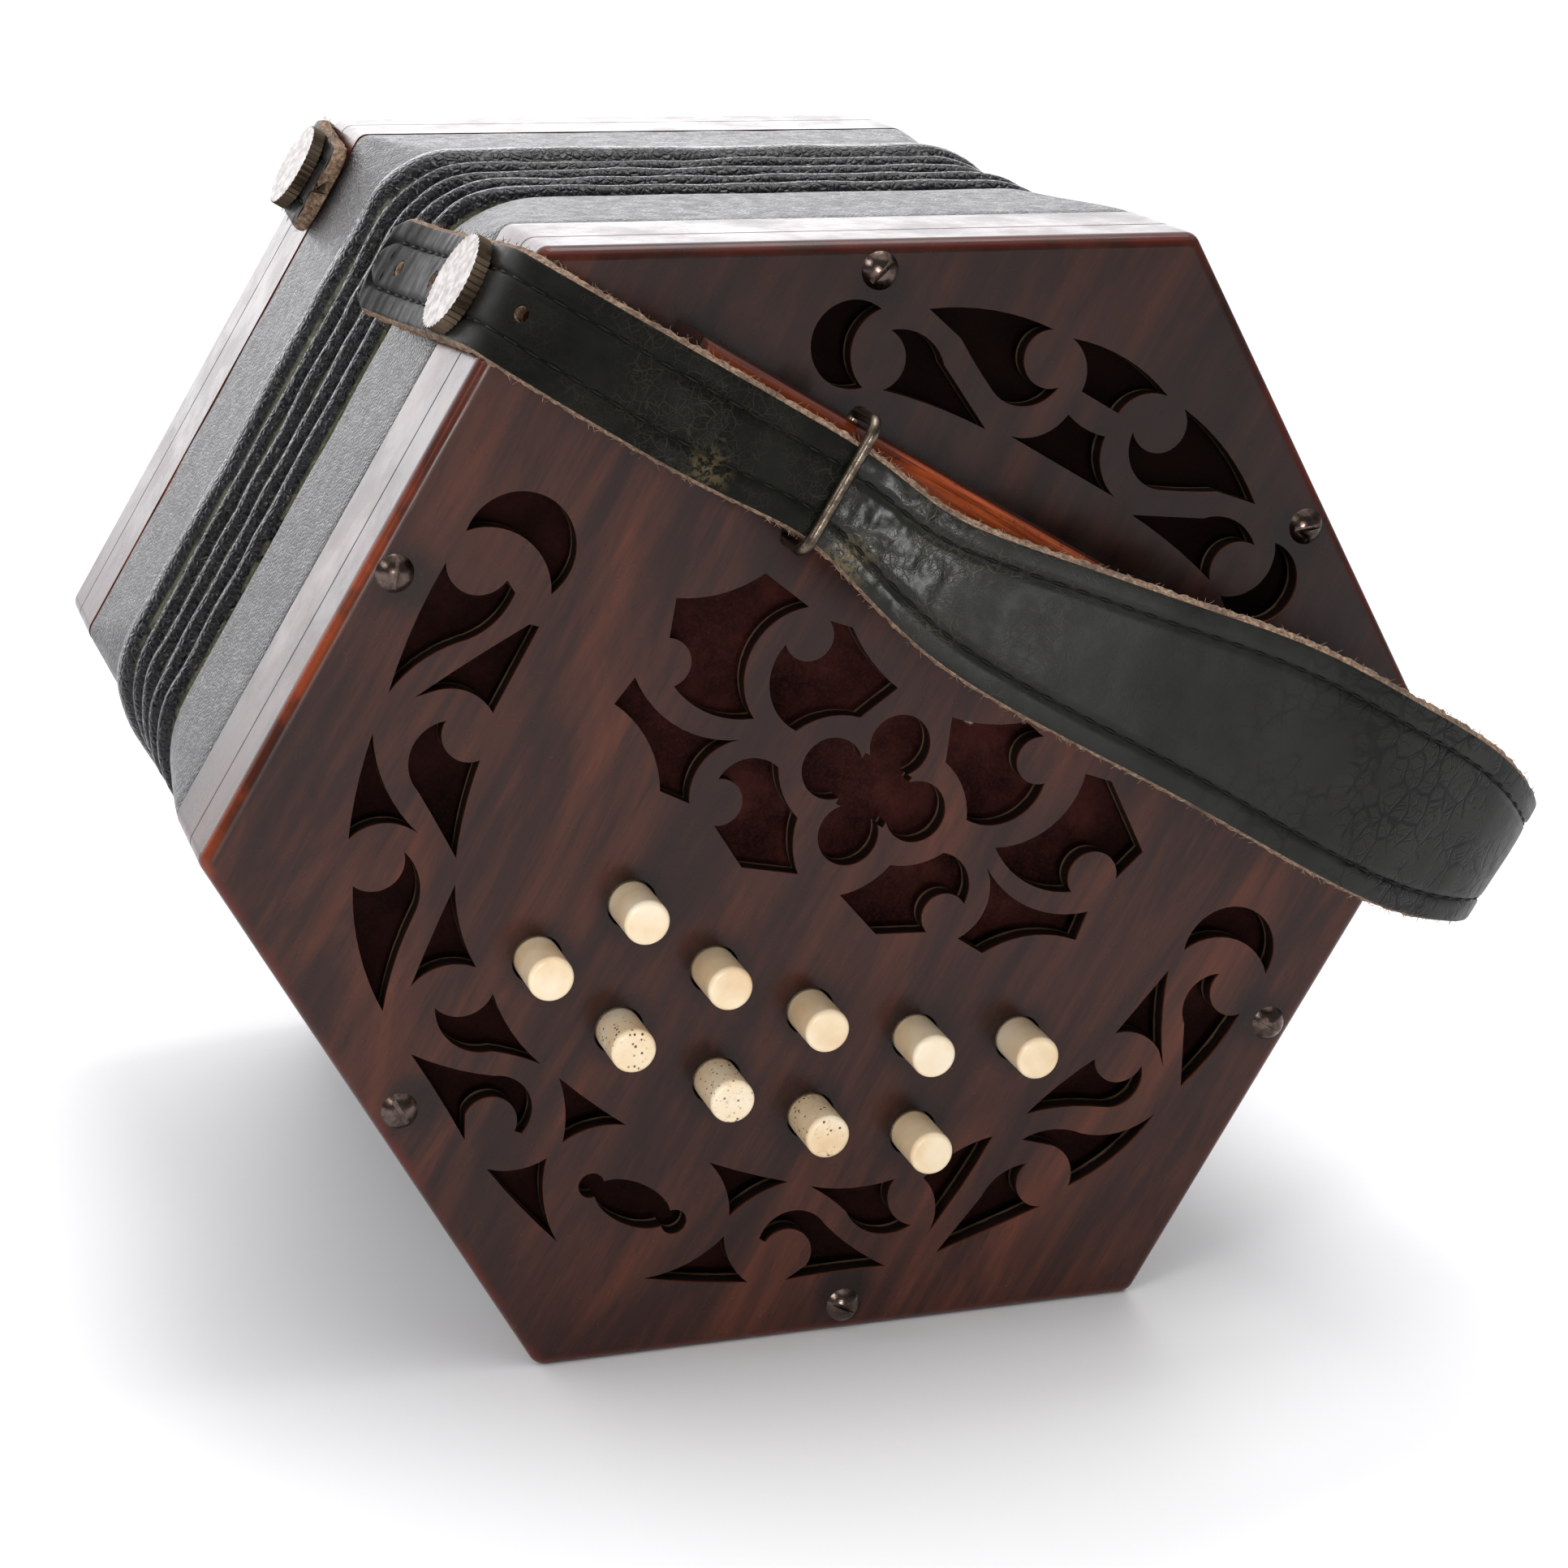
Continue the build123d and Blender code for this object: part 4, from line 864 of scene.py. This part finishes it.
def hand_strap(side, word):
    """The leather strap with its holes, its stitches and the fibres of its edges."""
    lines = strap_lines(side)
    path, normal, v_low, v_high, run = lines
    parts = [part for e, lift, part in strap_section(v_high[-1] - v_low[-1])]
    columns = len(parts)
    verts, marks = [], []
    for i, (u0, h0) in enumerate(path):
        full = v_high[i] - v_low[i]
        width = full * tail_share(run[i], full)
        base = v_low[i] + (full - width) / 2
        for e, lift, part in strap_section(width):
            v = base + e
            fray = 0.0
            if part == FACE:
                lift += strap_ripple(u0, v, h0, run[i])
            if part == RAW_EDGE:
                fray = 0.30 * noise.noise(Vector((run[i] / 1.1, e / 4.0, lift)))
                fray += 0.16 * noise.noise(Vector((run[i] / 0.45, e / 4.0, lift)))
            u = u0 + normal[i][0] * lift
            h = h0 + normal[i][1] * lift
            verts.append(place(side, u, v + fray, h))
            marks.append(strap_marks(u, v, u0, part))
    faces = loft_faces(len(path), columns, closed_rows=False)
    faces += [tuple(range(columns)), tuple(range((len(path) - 1) * columns, len(path) * columns))]

    # The tail's darker, duller leather, a copy darkened as painted shade, starts under the wire loop.
    loop_u = node_places([word + "_strap_loop"])[0][0]
    indices = []
    for u0, h0 in path[:-1]:
        material_of = {FACE: 2 if u0 < loop_u else 0, RAW_EDGE: 1, UNDERSIDE: 2}
        for j in range(columns):
            pair = (parts[j], parts[(j + 1) % columns])
            indices.append(material_of[RAW_EDGE if RAW_EDGE in pair else pair[0]])
    indices += [1, 1]
    obj = piece(word + "_strap_leather", verts, faces,
                [MATERIALS["strap_leather"], RAW_LEATHER, SHADED_STRAP_LEATHER], indices)
    for name in ("wear", "gloss", "crackle", "cracks"):
        mark(obj, name, [values[name] for values in marks])
    punch_holes(obj, side, lines)
    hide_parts(word + "_hand_strap")
    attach(obj, word + "_end")
    stitch(side, word, lines)
    fray_fibres(side, word, lines)


def punch_holes(obj, side, lines):
    """Cut the strap's spare holes right through it."""
    path, normal, v_low, v_high = lines[:4]
    tail = np.argmax(path[:, 1] > HOLES_BELOW)
    places = [height for height in HOLE_PLACES if height > path[0][1] + HOLE_MARGIN]
    sides = HOLE_SIDES
    verts, faces = [], []
    for height in places:
        i = int(np.argmin(np.abs(path[:tail, 1] - height)))
        v = (v_low[i] + v_high[i]) / 2
        base = len(verts)
        for reach in (-CUT_BEYOND, STRAP_T + CUT_BEYOND):
            u = path[i][0] + normal[i][0] * reach
            h = path[i][1] + normal[i][1] * reach
            middle = place(side, u, v, h)
            out = place(side, u + normal[i][0], v, h + normal[i][1]) - middle
            across = place(side, u, v + 1, h) - middle
            along = out.cross(across).normalized() * MM
            for k in range(sides):
                angle = math.tau * k / sides
                verts.append(middle + (across * math.cos(angle) + along * math.sin(angle)) * HOLE_R)
        faces += [(base + k, base + (k + 1) % sides, base + sides + (k + 1) % sides, base + sides + k)
                  for k in range(sides)]
        faces += [tuple(base + k for k in range(sides)), tuple(base + sides + k for k in range(sides))]
    cutter = piece("hole_cutter", verts, faces, [MATERIALS["strap_leather"], RAW_LEATHER], [1] * len(faces))
    cut = obj.modifiers.new("holes", "BOOLEAN")
    cut.operation = "DIFFERENCE"
    cut.solver = "EXACT"
    cut.object = cutter
    bpy.context.view_layer.update()
    settled = bpy.data.meshes.new_from_object(obj.evaluated_get(bpy.context.evaluated_depsgraph_get()))
    obj.modifiers.clear()
    obj.data = settled
    bpy.data.objects.remove(cutter)


class Threads:
    """Many short round threads gathered into one mesh."""

    SHAPE = [(0.0, 0.35), (0.18, 0.9), (0.5, 1.0), (0.82, 0.9), (1.0, 0.35)]

    def __init__(self, sides):
        self.sides = sides
        self.verts, self.faces = [], []

    def add(self, points, radii, out):
        """A tapering tube through the points; out is any direction square to it."""
        base = len(self.verts)
        for k, (point, radius) in enumerate(zip(points, radii)):
            along = (points[min(k + 1, len(points) - 1)] - points[max(k - 1, 0)]).normalized()
            across = along.cross(out).normalized()
            up = across.cross(along)
            for j in range(self.sides):
                angle = math.tau * j / self.sides
                self.verts.append(point + (across * math.cos(angle) + up * math.sin(angle)) * radius)
        tube = loft_faces(len(points), self.sides, closed_rows=False)
        self.faces += [tuple(base + k for k in face) for face in tube]
        for end in (base, base + (len(points) - 1) * self.sides):
            self.faces.append(tuple(end + k for k in range(self.sides)))

    def made(self, name, material):
        return piece(name, self.verts, self.faces, [material])


def on_strap(side, lines, at, share, lift):
    """Point on the strap that far along it, and the direction out of its face."""
    path, normal, v_low, v_high, run = lines
    u0, h0 = (np.interp(at, run, path[:, k]) for k in (0, 1))
    nu, nh = (np.interp(at, run, normal[:, k]) for k in (0, 1))
    low = np.interp(at, run, v_low)
    high = np.interp(at, run, v_high)
    v = low + share(high - low)
    lift += strap_ripple(u0, v, h0, at)
    point = place(side, u0 + nu * lift, v, h0 + nh * lift)
    out = place(side, u0 + nu * (lift + 1), v, h0 + nh * (lift + 1)) - point
    return point, out.normalized()


def stitch(side, word, lines):
    """Stitches in the two grooves and across the tail, as one mesh of short threads."""
    threads = Threads(6)
    start = STITCH_INSET
    end = lines[-1][-1] - STITCH_INSET
    radius = STITCH_R * MM

    def add(a, b, out):
        along = b - a
        points = [a + along * share - out * radius * STITCH_BOW * (2 * share - 1) ** 2
                  for share, size in Threads.SHAPE]
        threads.add(points, [radius * size for share, size in Threads.SHAPE], out)

    for share in (lambda width: STITCH_INSET, lambda width: width - STITCH_INSET):
        for k in range(int((end - start) / STITCH_PITCH)):
            at = start + k * STITCH_PITCH
            a, out = on_strap(side, lines, at, share, STRAP_T - STITCH_DEPTH)
            b, _ = on_strap(side, lines, at + STITCH_LENGTH, share, STRAP_T - STITCH_DEPTH)
            add(a, b, out)
    for low, high in TAIL_STITCHES:
        a, out = on_strap(side, lines, start, lambda width: width * low, STRAP_T + 0.05)
        b, _ = on_strap(side, lines, start, lambda width: width * high, STRAP_T + 0.05)
        add(a, b, out)
    obj = threads.made(word + "_strap_stitching", THREAD)
    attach(obj, word + "_end")


def fray_fibres(side, word, lines):
    """Loose fibres standing out of the strap's raw edges."""
    chance = random.Random(11)
    threads = Threads(3)
    length = lines[-1][-1]
    for k in range(FIBRE_COUNT):
        at = chance.uniform(1.0, length - 1.0)
        low_side = k % 2 == 0
        reach = chance.uniform(0.2, 0.75)
        drift = chance.uniform(-0.9, 0.9)
        lift = chance.uniform(0.7, STRAP_T - 0.5)
        curl = chance.uniform(-0.25, 0.35)

        def point(share):
            def from_low_edge(width):
                return -reach * share if low_side else width + reach * share
            return on_strap(side, lines, at + drift * share, from_low_edge, lift + curl * share ** 2)

        points = [point(share)[0] for share in (0.0, 0.5, 1.0)]
        threads.add(points, FIBRE_RADII, point(0.0)[1])
    obj = threads.made(word + "_strap_fibres", RAW_LEATHER)
    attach(obj, word + "_end")


# ---- stage ----
FLOOR_SIZE = 16.0
BRIGHT_TOWARDS = (-0.30, 0.94, 0.13)
WORLD_FRONT = 0.21
WORLD_BACK = 3.35
SKY = ((0.20, 0.10, 1.0), math.radians(90), 1.55)
LIGHTS = [      # name, place, what it points at, side of its square, watts
    ("overhead", (0.20, 0.05, 1.4), (0.0, 0.0, 0.0), 0.7, 9.0),
    ("side", (-1.0, -0.8, 0.9), (0.0, 0.0, 0.08), 0.45, 4.0),
    ("front", (-0.22, -1.5, 0.28), (0.0, 0.0, 0.08), 0.45, 3.8),
    ("glint", (-0.25, -1.5, 0.20), (0.0, 0.0, 0.10), 0.14, 2.4),
]


def stage():
    """White floor under the object."""
    white = Tree("floor").finish(Base_Color=(0.86, 0.86, 0.87), Roughness=0.55)
    half = FLOOR_SIZE / 2
    corners = [(-half, -half, 0), (half, -half, 0), (half, half, 0), (-half, half, 0)]
    floor = piece("floor", corners, [(0, 1, 2, 3)], [white])


def area_light(name, at, towards, size, watts):
    light = bpy.data.lights.new(name, "AREA")
    light.shape = "RECTANGLE"
    light.size = light.size_y = size
    light.energy = watts
    obj = new_object(name, light)
    obj.location = at
    obj.rotation_euler = (Vector(towards) - Vector(at)).to_track_quat("-Z", "Y").to_euler()


def sun(towards, spread, strength):
    """Even, very soft light from the given direction."""
    light = bpy.data.lights.new("sky", "SUN")
    light.energy = strength
    light.angle = spread
    new_object("sky", light).rotation_euler = Vector(towards).to_track_quat("Z", "Y").to_euler()


def surroundings():
    """White surroundings, far brighter behind the object than in front of it."""
    world = bpy.data.worlds.new("surroundings")
    bpy.context.scene.world = world
    world.use_nodes = True
    nodes = world.node_tree.nodes
    links = world.node_tree.links

    def map_range(source, values, kind="LINEAR"):
        node = nodes.new("ShaderNodeMapRange")
        node.interpolation_type = kind
        for key, value in zip(("From Min", "From Max", "To Min", "To Max"), values):
            node.inputs[key].default_value = value
        links.new(source, node.inputs["Value"])
        return node.outputs[0]

    direction = nodes.new("ShaderNodeTexCoord").outputs["Generated"]
    towards = nodes.new("ShaderNodeVectorMath")
    towards.operation = "DOT_PRODUCT"
    towards.inputs[1].default_value = Vector(BRIGHT_TOWARDS).normalized()
    links.new(direction, towards.inputs[0])
    height = nodes.new("ShaderNodeSeparateXYZ")
    links.new(direction, height.inputs[0])
    glow = nodes.new("ShaderNodeMath")
    glow.operation = "MULTIPLY_ADD"
    glow.inputs[2].default_value = WORLD_FRONT
    links.new(map_range(towards.outputs["Value"], (0.25, 1.0, 0.0, WORLD_BACK)), glow.inputs[0])
    links.new(map_range(height.outputs["Z"], (0.35, 0.7, 1.0, 0.3), "SMOOTHSTEP"), glow.inputs[1])
    background = nodes["Background"]
    background.inputs["Color"].default_value = (0.985, 0.98, 1.0, 1.0)
    links.new(glow.outputs[0], background.inputs["Strength"])


def camera():
    """The photo's camera, as fitted to the hexagon's corners."""
    data = bpy.data.cameras.new("camera")
    data.lens = CAMERA_LENS
    data.sensor_width = SENSOR
    data.clip_start = 0.01
    data.clip_end = 50.0
    forward = Vector(CAMERA_FORWARD).normalized()
    up = -Vector(CAMERA_DOWN)
    right = forward.cross(up).normalized()
    up = right.cross(forward)
    turn = Matrix((right, up, -forward)).transposed()
    obj = new_object("camera", data)
    obj.matrix_world = Matrix.Translation(CAMERA_AT) @ turn.to_4x4()
    bpy.context.scene.camera = obj


dress_frame()
for side, word in ((-1, "left"), (1, "right")):
    bellows_frame(side, word)
    hand_strap(side, word)
bellows_segments()
stage()
surroundings()
for light in LIGHTS:
    area_light(*light)
sun(*SKY)
camera()
bpy.context.scene.view_settings.view_transform = "Standard"
